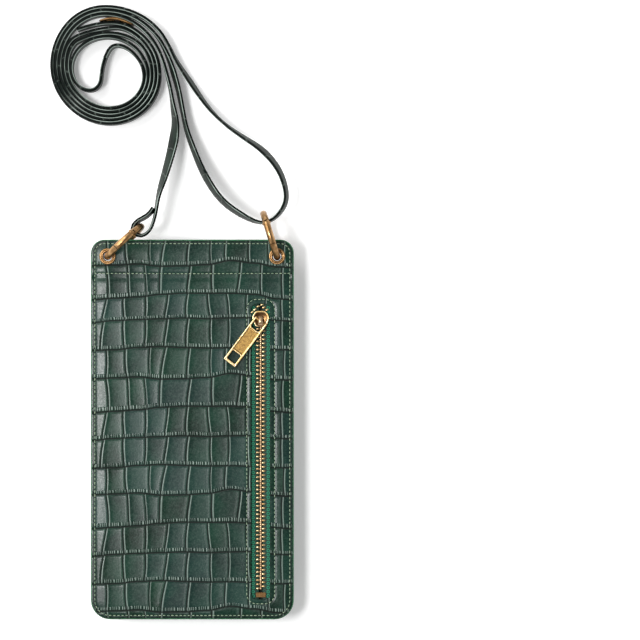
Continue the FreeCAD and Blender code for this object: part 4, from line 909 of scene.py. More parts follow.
# %% Tapes and lining
TAPE_FAR, LINING_Z = 6.2, 17.3
TAPE_RISES = (19.25, 19.25, 19.1, 18.95, 18.8)
for side, sign in (("left", -1), ("right", 1)):
    low, high = (np.array(corner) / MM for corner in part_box("zip_tape_" + side))
    near = high[0] if sign < 0 else low[0]
    across = (CHAIN + sign * TAPE_FAR, near + sign * 0.35, near, near, near + sign * 0.1)
    ends = np.linspace(low[1], high[1], 60)
    vertices = [(a * MM, e * MM, r * MM) for e in ends for a, r in zip(across, TAPE_RISES)]
    tape = mesh_object("tape_" + side, vertices, quads(len(ends), len(across))[:, ::-sign], TAPE)
    dress(tape, "zip_tape", "zip_tape_" + side)
LINING_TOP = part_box("zip_pocket_lining")[1][1] / MM - BOARD_Y / MM
points, faces = fitted_grid(lambda x, y: np.maximum(board_outline(x, y, 1.2), y - LINING_TOP + 1),
                            (-HALF_WIDE, -HALF_TALL), (HALF_WIDE, LINING_TOP), 3.5)
lining = mesh_object("pocket_lining", in_frame(level(points, LINING_Z)), faces, LINING)
dress(lining, "lining", "zip_pocket_lining")
print("tapes from", [round(float(v), 1) for v in ends[[0, -1]]], "mm")

# %% [markdown]
# Small metal parts are built from three kinds of closed solid: a block with rounded sides, a plate of
# rising outlines, and a slab between two height maps. Several of them are joined into one piece. Modelled
# by hand they would be slow to change; here a number is enough.


# %% Small solids
def rounded_block(centre, half, turn_by=0.0, turns=12, lifts=9):
    """Block with rounded sides, in millimetres: vertices and faces."""
    around = np.arange(turns) * 2 * math.pi / turns
    up = np.linspace(-math.pi / 2, math.pi / 2, lifts)[:, None]

    def squared(value):
        return np.sign(value) * np.abs(value) ** 0.45

    x = half[0] * squared(np.cos(up)) * squared(np.cos(around))
    y = half[1] * squared(np.cos(up)) * squared(np.sin(around))
    z = np.broadcast_to(half[2] * squared(np.sin(up)), x.shape)
    c, s = heading(turn_by)
    spots = np.stack([centre[0] + x * c - y * s, centre[1] + x * s + y * c, centre[2] + z], -1)
    low = turns * (lifts - 2)
    first, last = np.arange(turns), np.arange(low - turns, low)
    faces = list(quads(lifts - 2, turns, ring=True))
    faces += [(low, b, a) for a, b in zip(first, np.roll(first, -1))]
    faces += [(low + 1, a, b) for a, b in zip(last, np.roll(last, -1))]
    return np.vstack([spots[1:-1].reshape(-1, 3), spots[[0, -1], 0]]), faces


def plate(outline, levels):
    """Closed plate from levels: an inset of the outline, and one height or a height per point."""
    ahead = np.roll(outline, -1, axis=0) - np.roll(outline, 1, axis=0)
    normals = np.stack([ahead[:, 1], -ahead[:, 0]], 1) / np.linalg.norm(ahead, axis=1)[:, None]
    rings = [level(outline - normals * inset, z) for inset, z in levels]
    count = len(outline)
    first, last = np.arange(count), np.arange(count) + count * (len(levels) - 1)
    return np.vstack(rings), list(quads(len(levels), count, ring=True)) + [first[::-1], last]


def slab(points, faces, top, bottom):
    """Closed solid between two height maps over the same flat grid."""
    count = len(points)
    edges = np.concatenate([np.stack([faces[:, i], faces[:, (i + 1) % 4]], 1) for i in range(4)])
    known = {tuple(edge) for edge in edges.tolist()}
    rim = [(a, b) for a, b in edges.tolist() if (b, a) not in known]
    sides = [(b, a, a + count, b + count) for a, b in rim]
    return np.vstack([level(points, top), level(points, bottom)]), [*faces, *(faces[:, ::-1] + count), *sides]


def joined(name, parts, material, body, *solids):
    """One piece from several (vertices, faces) pairs, riding on a body in place of its solids."""
    spots, faces, start = [], [], 0
    for part_spots, part_faces in parts:
        spots.append(part_spots)
        faces += [tuple(int(i) + start for i in face) for face in part_faces]
        start += len(part_spots)
    piece = mesh_object(name, in_frame(np.vstack(spots)), faces, material)
    return dress(piece, "antique_brass", *solids, body=body)


def second_finish(piece, material, where):
    """Another finish for the faces that a mask picks."""
    piece.data.materials.append(material)
    piece.data.polygons.foreach_set("material_index", where.astype(int))


print("block, plate, slab")

# %% [markdown]
# Teeth sit half a pitch apart on the two tapes, and their heads lock into one line over the middle. A
# node group repeats one tooth along the chain. Above the slider the last teeth splay apart.


# %% Teeth
def repeat_nodes():
    group, given, add = empty_group("repeat", ("Pitch", "Float"), ("Piece", "Object"), ("Coat", "Material"))
    steps = add("GeometryNodeCurveToPoints", {0: given["Geometry"], "Length": given["Pitch"]}, mode="LENGTH")
    piece = add("GeometryNodeObjectInfo", {"Object": given["Piece"]})
    put = add("GeometryNodeInstanceOnPoints", {"Points": steps.outputs["Points"],
                                               "Instance": piece.outputs["Geometry"]})
    real = add("GeometryNodeRealizeInstances", {0: put.outputs[0]})
    coat = add("GeometryNodeSetMaterial", {0: real.outputs[0], "Material": given["Coat"]})
    add("NodeGroupOutput", {0: coat.outputs[0]})
    return group


REPEAT = repeat_nodes()
TOOTH_Z, TOOTH_END, TOOTH_X, TOOTH_HALF = 19.05, 0.5, 1.47, (0.98, 0.45, 0.82)
HEAD_AT, HEAD_HALF, SPLAY_HALF = (0, 0, -0.12), (0.52, 0.62, 0.74), (0.95, 0.45, 0.7)


def repeated(name, low, high, pitch, centre, half, material, *solids):
    """Blocks along the chain from low to high, in row millimetres."""
    spots, faces = rounded_block(centre, half)
    one = mesh_object("one_" + name, spots * MM, faces)
    low, high = low + TOOTH_END, high - TOOTH_END
    run = high - low
    line = np.array([(CHAIN, low, TOOTH_Z), (CHAIN, high, TOOTH_Z)]) * MM
    piece = along_line(name, line, REPEAT, Pitch=run / round(run / pitch) * MM, Piece=one, Coat=material)
    bpy.data.objects.remove(one)
    dress(piece, "antique_brass", *solids)


for side, sign in (("left", -1), ("right", 1)):
    low, high = (corner[1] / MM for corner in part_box("zip_teeth_" + side))
    repeated("teeth_" + side, low, high, TOOTH_PITCH, (sign * TOOTH_X, 0, 0), TOOTH_HALF, TEETH,
             "zip_teeth_" + side)
low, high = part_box("zip_teeth_left")[0][1] / MM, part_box("zip_teeth_right")[1][1] / MM
repeated("tooth_heads", low, high, TOOTH_PITCH / 2, HEAD_AT, HEAD_HALF, SPINE)
# Place beside the chain, height on the board and turn of each splayed tooth
SPLAY = [(-1.3, 63.7, 12), (-3.0, 62.1, 20), (-4.35, 60.75, 24),
         (0.7, 64.6, 8), (1.6, 63.1, 14), (3.2, 61.9, 18)]
blocks = [rounded_block((CHAIN + x, y, TOOTH_Z + 0.3), SPLAY_HALF, turn_by) for x, y, turn_by in SPLAY]
joined("splayed_teeth", blocks, TEETH, "pouch", "zip_top_stops")
print("teeth from %.1f to %.1f mm, %d splayed" % (low, high, len(SPLAY)))

# %% [markdown]
# The slider is shield-shaped, with a raised rim, and wide open inside so that the teeth run through it.
# Its crown is an arch that narrows at the waist.

# %% Slider
SLIDER_Y, BESIDE, RIM_LEVELS = 57.2, 2.9, (5, 6, 7)
CROWN_Y, CROWN_Z, CROWN_REACH, CROWN_RISE = SLIDER_Y - 1.2, 20.6, 2.0, 1.95


def softened(corners, rounds=(0.14, 0.25, 0.25)):
    """Closed outline with its corners cut again and again."""
    outline = np.array(corners, float)
    for share in rounds:
        ahead = np.roll(outline, -1, axis=0)
        step = (ahead - outline) * share
        outline = np.stack([outline + step, ahead - step], 1).reshape(-1, 2)
    return outline


shield = [(2.1, 4.15), (-2.1, 4.15), (-3.5, 3.0), (-4.5, 0.5),
          (-2.7, -4.15), (2.7, -4.15), (4.5, 0.5), (3.5, 3.0)]
outline = softened(shield) + (CHAIN, SLIDER_Y)
beside_teeth = np.abs(outline[:, 0] - CHAIN) > BESIDE
skirt, sill = np.where(beside_teeth, 19.5, 20.0), np.where(beside_teeth, 18.45, 18.1)
roof = plate(outline, [(0.7, 20.12), (0.35, 20.05), (0.3, skirt), (0.05, skirt), (0, skirt + 0.1),
                       (0, 20.72), (0.14, 20.88), (0.42, 20.88), (0.7, 20.66)])
sole = plate(outline, [(0.35, 17.45), (0, 17.6), (0, sill - 0.05), (0.3, sill), (0.5, 18.05)])
slider = joined("slider", [roof, sole], DARK_BRASS, "slider", "zip_slider")
second_finish(slider, RIM, np.isin(np.arange(len(slider.data.polygons)) // len(outline), RIM_LEVELS))

# Lift and share of the half width round the crown's section
crown_section = [(0, -0.9), (0.15, -1), (0.55, -1), (0.75, -0.72), (0.8, 0),
                 (0.75, 0.72), (0.55, 1), (0.15, 1), (0, 0.9)]
arch = np.linspace(0, math.pi, 19)
waist = np.interp(np.cos(arch), (-1, -0.5, 0.3, 1), (1.75, 1.3, 0.95, 1.25))
spots = np.array([(CHAIN + half * share, CROWN_Y + (CROWN_REACH + lift) * math.cos(angle),
                   CROWN_Z + (CROWN_RISE + lift) * math.sin(angle))
                  for angle, half in zip(arch, waist) for lift, share in crown_section])
first = np.arange(len(crown_section))
last = first + len(spots) - len(first)
cells = list(quads(len(arch), len(first), ring=True, flip=True)) + [first, last[::-1]]
joined("slider_crown", [(spots, cells)], SPINE, "slider", "zip_slider_crown")
print("slider", [round(float(v), 1) for v in np.ptp(outline, axis=0)], "mm")

# %% [markdown]
# The pull is cast: a bright rim round a grainy panel, a window at the fork and a square one at its end.
# It is a slab between two height maps, and the faces of its rim get the rubbed brass.


# %% Pull
PULL_AT, PULL_ALONG = np.array([CHAIN, 56.0]), np.array([-0.6, -0.8])
PULL_SIDE = np.array([-PULL_ALONG[1], PULL_ALONG[0]])
PULL_LOW, PULL_FACE, PULL_RIM, RIM_WIDE, PULL_NOSE = 21.0, 22.2, 0.3, 0.6, 0.75
# Middle, half size and corners of the plate, the window at the fork and the square one
PULL_BODY = ((0, -13.1), (3.7, 13.85), (0.75, 0.6))
PULL_FORK = ((0, -2.1), (2.75, 3.15), (0.3, 1.2))
PULL_EYE = ((0, -23.0), (2.65, 2.65), (0.6, 0.6))
BAR_Z, BAR_HALF = 21.75, (3.2, 0.55, 0.55)


def pull_outline(s, w):
    body, fork, eye = (rounded_box(w, -s, *box) for box in (PULL_BODY, PULL_FORK, PULL_EYE))
    return np.max([body, -fork, -eye], axis=0)


points, faces = fitted_grid(pull_outline, (-0.75, -3.7), (26.95, 3.7), 0.24)
inside_by = -pull_outline(*points.T)
top = PULL_FACE + PULL_RIM * np.clip(1.9 - inside_by / 0.5, 0, 1)
top -= 0.2 * np.clip(1 - inside_by / 0.3, 0, 1) ** 2
nose = np.clip(-points[:, 0] / PULL_NOSE, 0, 1) ** 2
flat_points = PULL_AT + points[:, :1] * PULL_ALONG + points[:, 1:] * PULL_SIDE
body = slab(flat_points, faces, top - 0.35 * nose, PULL_LOW + 0.5 * nose)
bar = rounded_block((*PULL_AT, BAR_Z), BAR_HALF, math.degrees(math.atan2(*PULL_SIDE[::-1])))
pull = joined("pull", [body, bar], PULL, "pull", "zip_pull")
bright = np.zeros(len(pull.data.polygons), bool)
bright[:len(faces)] = inside_by[faces].mean(1) < RIM_WIDE
second_finish(pull, RIM, bright)
print("pull:", len(bright), "faces,", int(bright.sum()), "bright")

# %% [markdown]
# Eyelets are turned: a rolled rim, a groove, an inner lip, and a bore. The groove's brown brass is patina;
# the bore's brown brass is painted shade for the inside of the hole. Rings, gates and snap keep the shape
# of the solid model and only get their finish.

# %% Eyelets and other metal
# Radius and height along the turned section, from the outside under the rim to the back
TURNED = [(4.25, 19.7), (4.25, 20.75), (4.05, 21.12), (3.7, 21.28), (3.4, 21.15), (3.22, 20.85),
          (3.05, 21.02), (2.8, 21.1), (2.6, 20.9), (2.5, 20.3), (2.35, 18.5), (2.2, 16.5),
          (2.25, 14.95), (2.6, 14.55), (3.1, 14.6), (3.3, 14.9)]
GROOVE, BORE_FROM, AROUND = (4, 5), 8, 40
cells = quads(len(TURNED), AROUND, ring=True)
step = np.arange(len(cells)) // AROUND
for side, (eye_x, eye_y) in EYELET.items():
    spots = [(eye_x + r * c, eye_y + r * s, z) for r, z in TURNED
             for c, s in (heading(360 * i / AROUND) for i in range(AROUND))]
    eyelet = joined("turned_eyelet_" + side, [(np.array(spots), cells)], BRASS, "pouch", "eyelet_" + side)
    # Brown brass on the groove is patina, and on the bore it is painted shade.
    second_finish(eyelet, DARK_BRASS, (step >= BORE_FROM) | np.isin(step, GROOVE))
FINISH = {"snap_cap": SNAP, "zip_bottom_stop": DARK_BRASS}
left_metal = ["eyelet_washer_left", "eyelet_washer_right", "zip_bottom_stop",
              "snap_stud_base", "snap_stud", "snap_cap", "snap_socket"]
left_metal += ["ring_" + side + part for side in ("left", "right") for part in ("", "_gate", "_gate_pin")]
for name in left_metal:
    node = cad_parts[name]
    node.data.materials.clear()
    node.data.materials.append(FINISH.get(name, BRASS))
print("metal pieces dressed:", len(left_metal))

# %% [markdown]
# The adjuster is a bowed plate with two windows that stands on its edge, as the strap does. It is
# modelled flat and then bent along the line in the photo.

# %% Adjuster
BOW = [(-48.9, 212.5), (-45.2, 213.5), (-41.0, 213.8), (-36.4, 212.8), (-31.2, 210.4)]
PLATE_TALL, PLATE_HALF, PLATE_CORNER = 11.3, 0.78, (1.2, 1.2)
SLOT_SHARES, SLOT_UP, SLOT = (0.27, 0.73), 5.9, ((2.8, 3.7), (0.5, 0.5))
bow = smooth_line("bow", level(BOW, 0.0)) / MM - np.array([0, BOARD_Y / MM, 0])
bow_run = run_along(bow)
bow_ahead = np.gradient(bow, axis=0) / np.linalg.norm(np.gradient(bow, axis=0), axis=1)[:, None]
PLATE_LONG = bow_run[-1]


def adjuster_outline(u, v):
    middle = (PLATE_LONG / 2, PLATE_TALL / 2)
    windows = [-rounded_box(u, v, (PLATE_LONG * share, SLOT_UP), *SLOT) for share in SLOT_SHARES]
    return np.max([rounded_box(u, v, middle, middle, PLATE_CORNER)] + windows, axis=0)


points, faces = fitted_grid(adjuster_outline, (0, 0), (PLATE_LONG, PLATE_TALL), 0.4)
rounding = 0.35 + 0.65 * np.sqrt(np.clip(-adjuster_outline(*points.T) / 0.7, 0, 1))
half = PLATE_HALF * rounding * (1 - 0.5 * (2 * points[:, 0] / PLATE_LONG - 1) ** 2)
spots, cells = slab(points, faces, half, -half)
x, y, tx, ty = (np.interp(spots[:, 0], bow_run, row) for row in (*bow.T[:2], *bow_ahead.T[:2]))
bent = np.column_stack([x + ty * spots[:, 2], y - tx * spots[:, 2], spots[:, 1]])
adjuster = joined("adjuster", [(bent, cells)], DARK_BRASS, "pouch", "strap_adjuster")
for name, strap in straps.items():
    line = paths[name]
print("adjuster %.1f mm long, cords:" % PLATE_LONG, sorted(straps))

# %% [markdown]
# ## The phone side
#
# Under the board the back panel shows above the pocket's mouth. It carries the same emboss, mirrored
# because we see it from below. The part that the pocket hides is left coarse.

# %% Back panel
POCKET_HALF, SHOULDER, MOUTH, FOLD_Y, FOOT_Y = 49.25, 43.5, 34.0, -91.3, -95.5
SLOPE, FOLD_RADIUS, LEATHER, FLANGE_Z, SETTLE = 0.043027, 4.0, 1.3, 14.2, 0.13
HIDDEN_Y, EMBOSS_DOWN = 12.0, 2.3
THREAD_LOW, THREAD_X = BOARD_LOW + SUNK, HALF_WIDE - SEAM_IN


def face_z(y):
    return (y - FOLD_Y) * SLOPE - SETTLE


def back_emboss(x, y):
    return emboss(-x, y - EMBOSS_DOWN, 1)


def back_outline(x, y):
    return np.maximum(board_outline(x, y, EDGE), -eyelet_holes(x, y))


points, faces = fitted_grid(lambda x, y: np.maximum(back_outline(x, y), HIDDEN_Y - y),
                            (-HALF_WIDE, HIDDEN_Y), (HALF_WIDE, HALF_TALL), 0.56)
x, y = points.T
height, marks = back_emboss(x, y)
inside_by = back_outline(x, y)
calm = np.clip(-inside_by / CALM, 0, 1)
seams = np.minimum(np.abs(board_outline(x, y, SEAM_IN)), np.abs(y - SEAM_Y))
dip = -SEAM_DEEP * bell(seams, SEAM_WIDE) - 0.3 * bell(y - 78.6, 1.3)
z = BOARD_LOW - (height + dip) * calm - rim_fall(inside_by)
marks.update(hem(x, y))
rest_points, rest_faces = fitted_grid(lambda x, y: np.maximum(board_outline(x, y, EDGE), y - HIDDEN_Y),
                                      (-HALF_WIDE, -HALF_TALL), (HALF_WIDE, HIDDEN_Y), 3.0)
marks = {key: np.append(values, np.zeros(len(rest_points))) for key, values in marks.items()}
spots = in_frame(np.vstack([level(points, z), level(rest_points, BOARD_LOW)]))
cells = np.vstack([faces[:, ::-1], rest_faces[:, ::-1] + len(points)])
back_skin = mesh_object("back_skin", spots, cells, EMBOSSED, **marks)
dress(back_skin, "embossed_leather", "pocket_panel", "tab_root")
stitched("stitch_back_seam", level(seam_path, THREAD_LOW))
upper = ring_path[ring_path[:, 1] > SHOULDER]
upper = np.vstack([[(THREAD_X, SHOULDER + 1)], upper, [(-THREAD_X, SHOULDER + 1)]])
stitched("stitch_back_edge", level(upper, THREAD_LOW))
print("back skin:", len(cells), "faces")

# %% [markdown]
# The pocket is a folded tray. Its face slopes a little, a fold of 4 mm radius turns it into the walls,
# and the walls end on a flange that is sewn to the board. One function makes the outer skin, and again,
# further in, the lining side.


# %% Pocket helpers
RIM_CUT, FOOT_CUT, ARC_STEPS = (3.12, 3.7), (6.65, 7.9), 6


def rounded_polygon(corners, radius, step):
    """Open path with an arc at each inner corner: points and normals to the right of travel."""
    corners = [np.array(corner, float) for corner in corners]
    places, normals, start = [], [], corners[0]

    def run_to(end, along):
        count = max(1, int(np.linalg.norm(end - start) / step))
        for i in range(count):
            places.append(start + (end - start) * i / count)
            normals.append(np.array([along[1], -along[0]]))

    for before, here, after in zip(corners, corners[1:], corners[2:]):
        come, go = here - before, after - here
        come, go = come / np.linalg.norm(come), go / np.linalg.norm(go)
        bend_by = math.acos(np.clip(come @ go, -1, 1))
        reach = radius * math.tan(bend_by / 2)
        run_to(here - come * reach, come)
        left = np.array([-come[1], come[0]])
        centre = here - come * reach + left * radius
        for i in range(ARC_STEPS):
            angle = bend_by * i / ARC_STEPS
            normals.append(-left * math.cos(angle) + come * math.sin(angle))
            places.append(centre + normals[-1] * radius)
        start = here + go * reach
    last = (corners[-1] - start) / np.linalg.norm(corners[-1] - start)
    run_to(corners[-1], last)
    places.append(corners[-1])
    normals.append(np.array([last[1], -last[0]]))
    return np.array(places), np.array(normals)


def cut_corners(half, low, cut):
    """Corners of the tray from its left shoulder, down, across and up to the right one."""
    left = [(-half, SHOULDER), (-half, low + cut[1]), (-half + cut[0], low)]
    return left + [(-x, y) for x, y in left[::-1]]


def beyond_cut(x, y, half, low, cut):
    """Distance past the slanting line of a cut corner."""
    return ((np.abs(x) - half + cut[0]) * cut[1] + (low - y) * cut[0]) / math.hypot(*cut)


def mouth_line(x):
    t = np.clip((np.abs(x) - 38.6) / 6.4, 0, 1)
    return MOUTH + (SHOULDER - MOUTH) * t * t * (3 - 2 * t)


def pocket_walls(inset, step, marked):
    """Rows of points down the fold and the walls, and their places when the sheet lies flat."""
    half, radius = POCKET_HALF - inset, FOLD_RADIUS - inset
    fold_y, foot_y = FOLD_Y + inset, FOOT_Y + inset
    rim, normals = rounded_polygon(cut_corners(half, fold_y, RIM_CUT), radius + 1.0, step)
    foot, _ = rounded_polygon(cut_corners(half, foot_y, FOOT_CUT), radius + 1.0, step)
    shares = np.linspace(0, 1, len(rim))
    foot = np.stack([np.interp(shares, np.linspace(0, 1, len(foot)), foot[:, i]) for i in range(2)], 1)
    straight = np.abs(np.abs(rim[:, 0]) - half) < 1e-6
    foot[straight] = rim[straight]
    low = np.abs(rim[:, 1] - fold_y) < 1e-6
    foot[low] = level(rim[low, 0] * (half - FOOT_CUT[0]) / (half - RIM_CUT[0]), foot_y)
    start = rim - normals * radius
    base = face_z(start[:, 1]) + inset
    drop = FLANGE_Z - base - radius
    rows, runs = [], []
    for share in np.linspace(0, 1, 9 if marked else 5):
        angle = math.pi / 2 * share
        xy = rim - normals * radius * (1 - math.sin(angle))
        rows.append(level(xy, base + radius * (1 - math.cos(angle))))
        runs.append(np.full(len(rim), radius * angle))
    for share in np.linspace(0, 1, 15 if marked else 4)[1:]:
        rows.append(level(rim + (foot - rim) * share, base + radius + drop * share))
        runs.append(radius * math.pi / 2 + drop * share)
    return np.array(rows), (start + normals * np.array(runs)[..., None]).reshape(-1, 2)


def pocket_mesh(name, inset, step, material, marked):
    """Face, fold and walls of the pocket, set in from its outside; marked skins carry the emboss."""
    half, radius, fold_y = POCKET_HALF - inset, FOLD_RADIUS - inset, FOLD_Y + inset
    rows, flat = pocket_walls(inset, step, marked)
    push = np.cross(np.gradient(rows, axis=1), np.gradient(rows, axis=0))
    push /= np.maximum(np.linalg.norm(push, axis=2), 1e-9)[..., None]
    push *= np.where(push[0, :, 2].mean() > 0, -1, 1)

    def face_outline(x, y):
        ax, near = np.abs(x), 0.01
        lean_by = (mouth_line(ax + near) - mouth_line(ax - near)) / (2 * near)
        mouth = (y - mouth_line(x)) / np.sqrt(1 + lean_by ** 2)
        corner = beyond_cut(x, y, half, fold_y, RIM_CUT) + radius
        return np.max([ax - half + radius, fold_y + radius - y, corner, mouth], axis=0)

    points, faces = fitted_grid(face_outline, (-half, fold_y), (half, SHOULDER), step)
    count = len(points)
    spots = np.vstack([level(points, face_z(points[:, 1]) + inset), rows.reshape(-1, 3)])
    values = {}
    if marked:
        x, y = np.vstack([points, flat]).T
        height, values = back_emboss(x, y)
        calm = np.clip((mouth_line(x) - y) / CALM, 0, 1)
        height = height * calm - 0.15 * (1 - calm)
        values["hem"] = np.clip((y - mouth_line(x) + 1.8) / 0.5, 0, 1)
        spots[:count, 2] -= height[:count]
        spots[count:] += push.reshape(-1, 3) * height[count:, None]
    faces = np.vstack([faces[:, ::-1], quads(*rows.shape[:2], flip=True) + count])
    return mesh_object(name, in_frame(spots), faces if marked else faces[:, ::-1], material, **values)


print("pocket face from %.2f to %.2f mm" % (face_z(FOLD_Y), face_z(SHOULDER)))

# %% [markdown]
# On the real pouch the pocket is one sheet of embossed leather with a thin lining glued inside. Both
# could be modelled by hand and given a thickness. Here the same function makes both, so that they stay
# parallel.

# %% Pocket skins
FLANGE = ((0, -27.225), (52.2, 70.725), (0.1, 9.7))
pocket_skin = pocket_mesh("pocket_skin", 0.0, 0.6, EMBOSSED, True)
dress(pocket_skin, "embossed_leather", "phone_pocket")
dress(pocket_mesh("pocket_inner", LEATHER, 3.0, LINING, False), "lining")


def flange_outline(x, y):
    corner = beyond_cut(x, y, POCKET_HALF, FOOT_Y, FOOT_CUT)
    hole = np.max([np.abs(x) - POCKET_HALF + 0.2, FOOT_Y + 0.2 - y, corner], axis=0)
    return np.maximum(rounded_box(x, y, *FLANGE) + 0.35, -hole)


points, faces = fitted_grid(flange_outline, (-HALF_WIDE, -HALF_TALL), (HALF_WIDE, SHOULDER), 0.6)
x, y = points.T
height, marks = back_emboss(x, y)
z = FLANGE_Z - 0.4 * height + SEAM_DEEP * bell(board_outline(x, y, SEAM_IN), 0.5)
spots = in_frame(level(points, z))
flange = mesh_object("pocket_flange", spots, faces[:, ::-1], EMBOSSED, **marks, **hem(x, y))
dress(flange, "embossed_leather")
print("pocket skin:", len(pocket_skin.data.polygons), "faces, flange:", len(faces))

# %% [markdown]
# The mouth and the flange end in painted edges, and two lines of stitches follow them. The edges could be
# bevels of the skins, but as pieces of their own they take the paint cleanly.


# %% Pocket edges
FOLD_X, FLANGE_X = POCKET_HALF - FOLD_RADIUS, FLANGE[1][0]


def edge_ribbon(name, outer, inner, ahead, bulge=0.35, steps=6):
    """Painted edge of a sheet, from the line on its outside to that on its inside, bulged ahead."""
    rows = [outer + (inner - outer) * share + ahead * bulge * math.sin(math.pi * share)
            for share in np.linspace(0, 1, steps)]
    band = mesh_object(name, in_frame(np.vstack(rows)), quads(steps, len(outer)), PAINT)
    return dress(band, "embossed_leather")


def left_to_right(path):
    """Order of points round the foot, from the left shoulder to the right one."""
    return np.argsort(np.arctan2(path[:, 0], -path[:, 1] - 40))


half_x = np.concatenate([np.linspace(0, 38, 30), np.linspace(38.3, FOLD_X, 24)])
half_y = mouth_line(half_x)
outer, inner = (list(level(level(half_x, half_y), face_z(half_y) + deep)) for deep in (0, LEATHER))
ahead = [np.array([-s, 1, 0]) / math.hypot(s, 1) for s in np.gradient(half_y, half_x)]
fold_z = face_z(SHOULDER) + FOLD_RADIUS
for i in range(1, 9):
    c, s = heading(90 * i / 8)
    for line, radius in ((outer, FOLD_RADIUS), (inner, FOLD_RADIUS - LEATHER)):
        line.append((FOLD_X + radius * s, SHOULDER, fold_z - radius * c))
# Down the wall and out along the flange
outer_foot = (49.25, 12.6), (49.6, 13.9), (50.4, FLANGE_Z), (52.0, FLANGE_Z)
inner_foot = (47.95, 13.4), (48.2, 15.0), (49.4, BOARD_LOW), (FLANGE_X, BOARD_LOW)
for line, foot in ((outer, outer_foot), (inner, inner_foot)):
    line += [(x, SHOULDER, z) for x, z in foot]
ahead += [(0, 1, 0)] * (len(outer) - len(ahead))
halves = [np.array(line, float) for line in (outer, inner, ahead)]
mouth_edge = edge_ribbon("mouth_edge", *(np.vstack([line[:0:-1] * (-1, 1, 1), line]) for line in halves))

path, normals = rounded_path(*FLANGE, 0.8)
below = path[:, 1] < SHOULDER - 0.2
order = left_to_right(path[below])
path = np.vstack([[(-FLANGE_X, SHOULDER)], path[below][order], [(FLANGE_X, SHOULDER)]])
normals = np.vstack([[(-1, 0)], normals[below][order], [(1, 0)]])
section = [(-0.5, FLANGE_Z + 0.12), (-0.2, FLANGE_Z + 0.04), (0.08, FLANGE_Z + 0.3),
           (0.12, FLANGE_Z + 0.8), (0.0, BOARD_LOW)]
flange_edge = swept_loop("flange_edge", path, normals, section, PAINT, closed=False)
dress(flange_edge, "embossed_leather")
lower = ring_path[ring_path[:, 1] < SHOULDER - 1]
lower = np.vstack([[(-THREAD_X, SHOULDER - 1)], lower[left_to_right(lower)], [(THREAD_X, SHOULDER - 1)]])
stitched("stitch_flange", level(lower, FLANGE_Z + 0.12))
inset_x = np.linspace(-44.5, 44.5, 160)
inset_y = mouth_line(inset_x) - 2.0 - 0.7 * bell(np.abs(inset_x) - 41.5, 2.5)
stitched("stitch_mouth", np.column_stack([inset_x, inset_y, face_z(inset_y) + SUNK]))
print("mouth edge:", len(mouth_edge.data.polygons), "faces")

# %% [markdown]
# The closure tab leaves a slit in the back panel, bends over the mouth and snaps onto the pocket. Its
# path is a run, an arc and a run. Points are laid along the path and across the width, and everything
# rides on the hinge.

# %% Tab
TAB_HALF, TAB_THICK, TAB_CORNER, TAB_SLIT, TAB_END = 12.0, 1.8, 3.6, 73.5, 2.0
TAB_BEND, TAB_RADIUS, TAB_RISE, TAB_RIM = 36.5, 22.0, 2.0, 0.5
CAP_FROM_END, CAP_RADIUS = 11.5, 6.2
tilt = math.atan(SLOPE)
out_of_face = np.array([math.sin(tilt), -math.cos(tilt)])
axis_at = np.array([TAB_SLIT, FLANGE_Z])
bend_at, end_at = (np.array([y, face_z(y)]) + out_of_face * TAB_RISE for y in (TAB_BEND, TAB_END))
first_run = (axis_at - bend_at) / np.linalg.norm(axis_at - bend_at)
last_run = (end_at - bend_at) / np.linalg.norm(end_at - bend_at)
turn_by = math.pi - math.acos(first_run @ last_run)
reach = TAB_RADIUS * math.tan(turn_by / 2)
leave_at, meet_at = bend_at + first_run * reach, bend_at + last_run * reach
tab_line = [axis_at]
for share in np.linspace(0, 1, 15):
    a, b, c = (1 - share) ** 2, 2 * share * (1 - share) * math.cos(turn_by / 2), share * share
    tab_line.append((a * leave_at + b * bend_at + c * meet_at) / (a + b + c))
tab_line = np.array(tab_line + [end_at])
tab_run = run_along(tab_line)
TAB_LONG = tab_run[-1]


def on_tab(across, run, lift):
    """Points of the tab by place across, length along it, and height over its middle, outside positive."""
    before, middle, beyond = (np.stack([np.interp(run + shift, tab_run, row) for row in tab_line.T], 1)
                              for shift in (-0.5, 0, 0.5))
    ahead = beyond - before
    ahead /= np.linalg.norm(ahead, axis=1)[:, None]
    side = np.column_stack([-ahead[:, 1], ahead[:, 0]])
    side *= np.where(side[:, 1:] > 0, -1, 1)
    return np.column_stack([across, middle + side * np.broadcast_to(lift, len(run))[:, None]])


def tab_shape(inset, corner_inset):
    """Middle, half size and corners of the tab's outline, set in, with its length counted downwards."""
    return (0, -TAB_LONG / 2), (TAB_HALF - inset, TAB_LONG / 2 - inset), (0.6, TAB_CORNER - corner_inset)


def tab_outline(x, run):
    return rounded_box(x, -run, *tab_shape(TAB_RIM, TAB_RIM))


points, faces = fitted_grid(tab_outline, (-TAB_HALF, 0), (TAB_HALF, TAB_LONG), 0.55)
x, run = points.T
height, marks = emboss(-x + 4.0, 75.0 - run, 2)
inside_by = tab_outline(x, run)
calm = np.clip(-inside_by, 0, 1)
lift = TAB_THICK / 2 + height * calm * 0.9 - 0.12 * bell(inside_by + 1.35, 0.45)
lift += rim_fall(inside_by, 1.0, 0.15)
under_cap = disc(x, run, (0, TAB_LONG - CAP_FROM_END), CAP_RADIUS) < 0
lift = np.where(under_cap, TAB_THICK / 2 - SUNK, lift)
marks["hem"] = np.clip((inside_by + 1.3) / 0.4, 0, 1)
tab_skin = mesh_object("tab_skin", in_frame(on_tab(x, run, lift)), faces, EMBOSSED, **marks)
back_points, back_faces = fitted_grid(tab_outline, (-TAB_HALF, 0), (TAB_HALF, TAB_LONG), 1.6)
spots = in_frame(on_tab(*back_points.T, -TAB_THICK / 2))
tab_back = mesh_object("tab_back", spots, back_faces[:, ::-1], LINING)

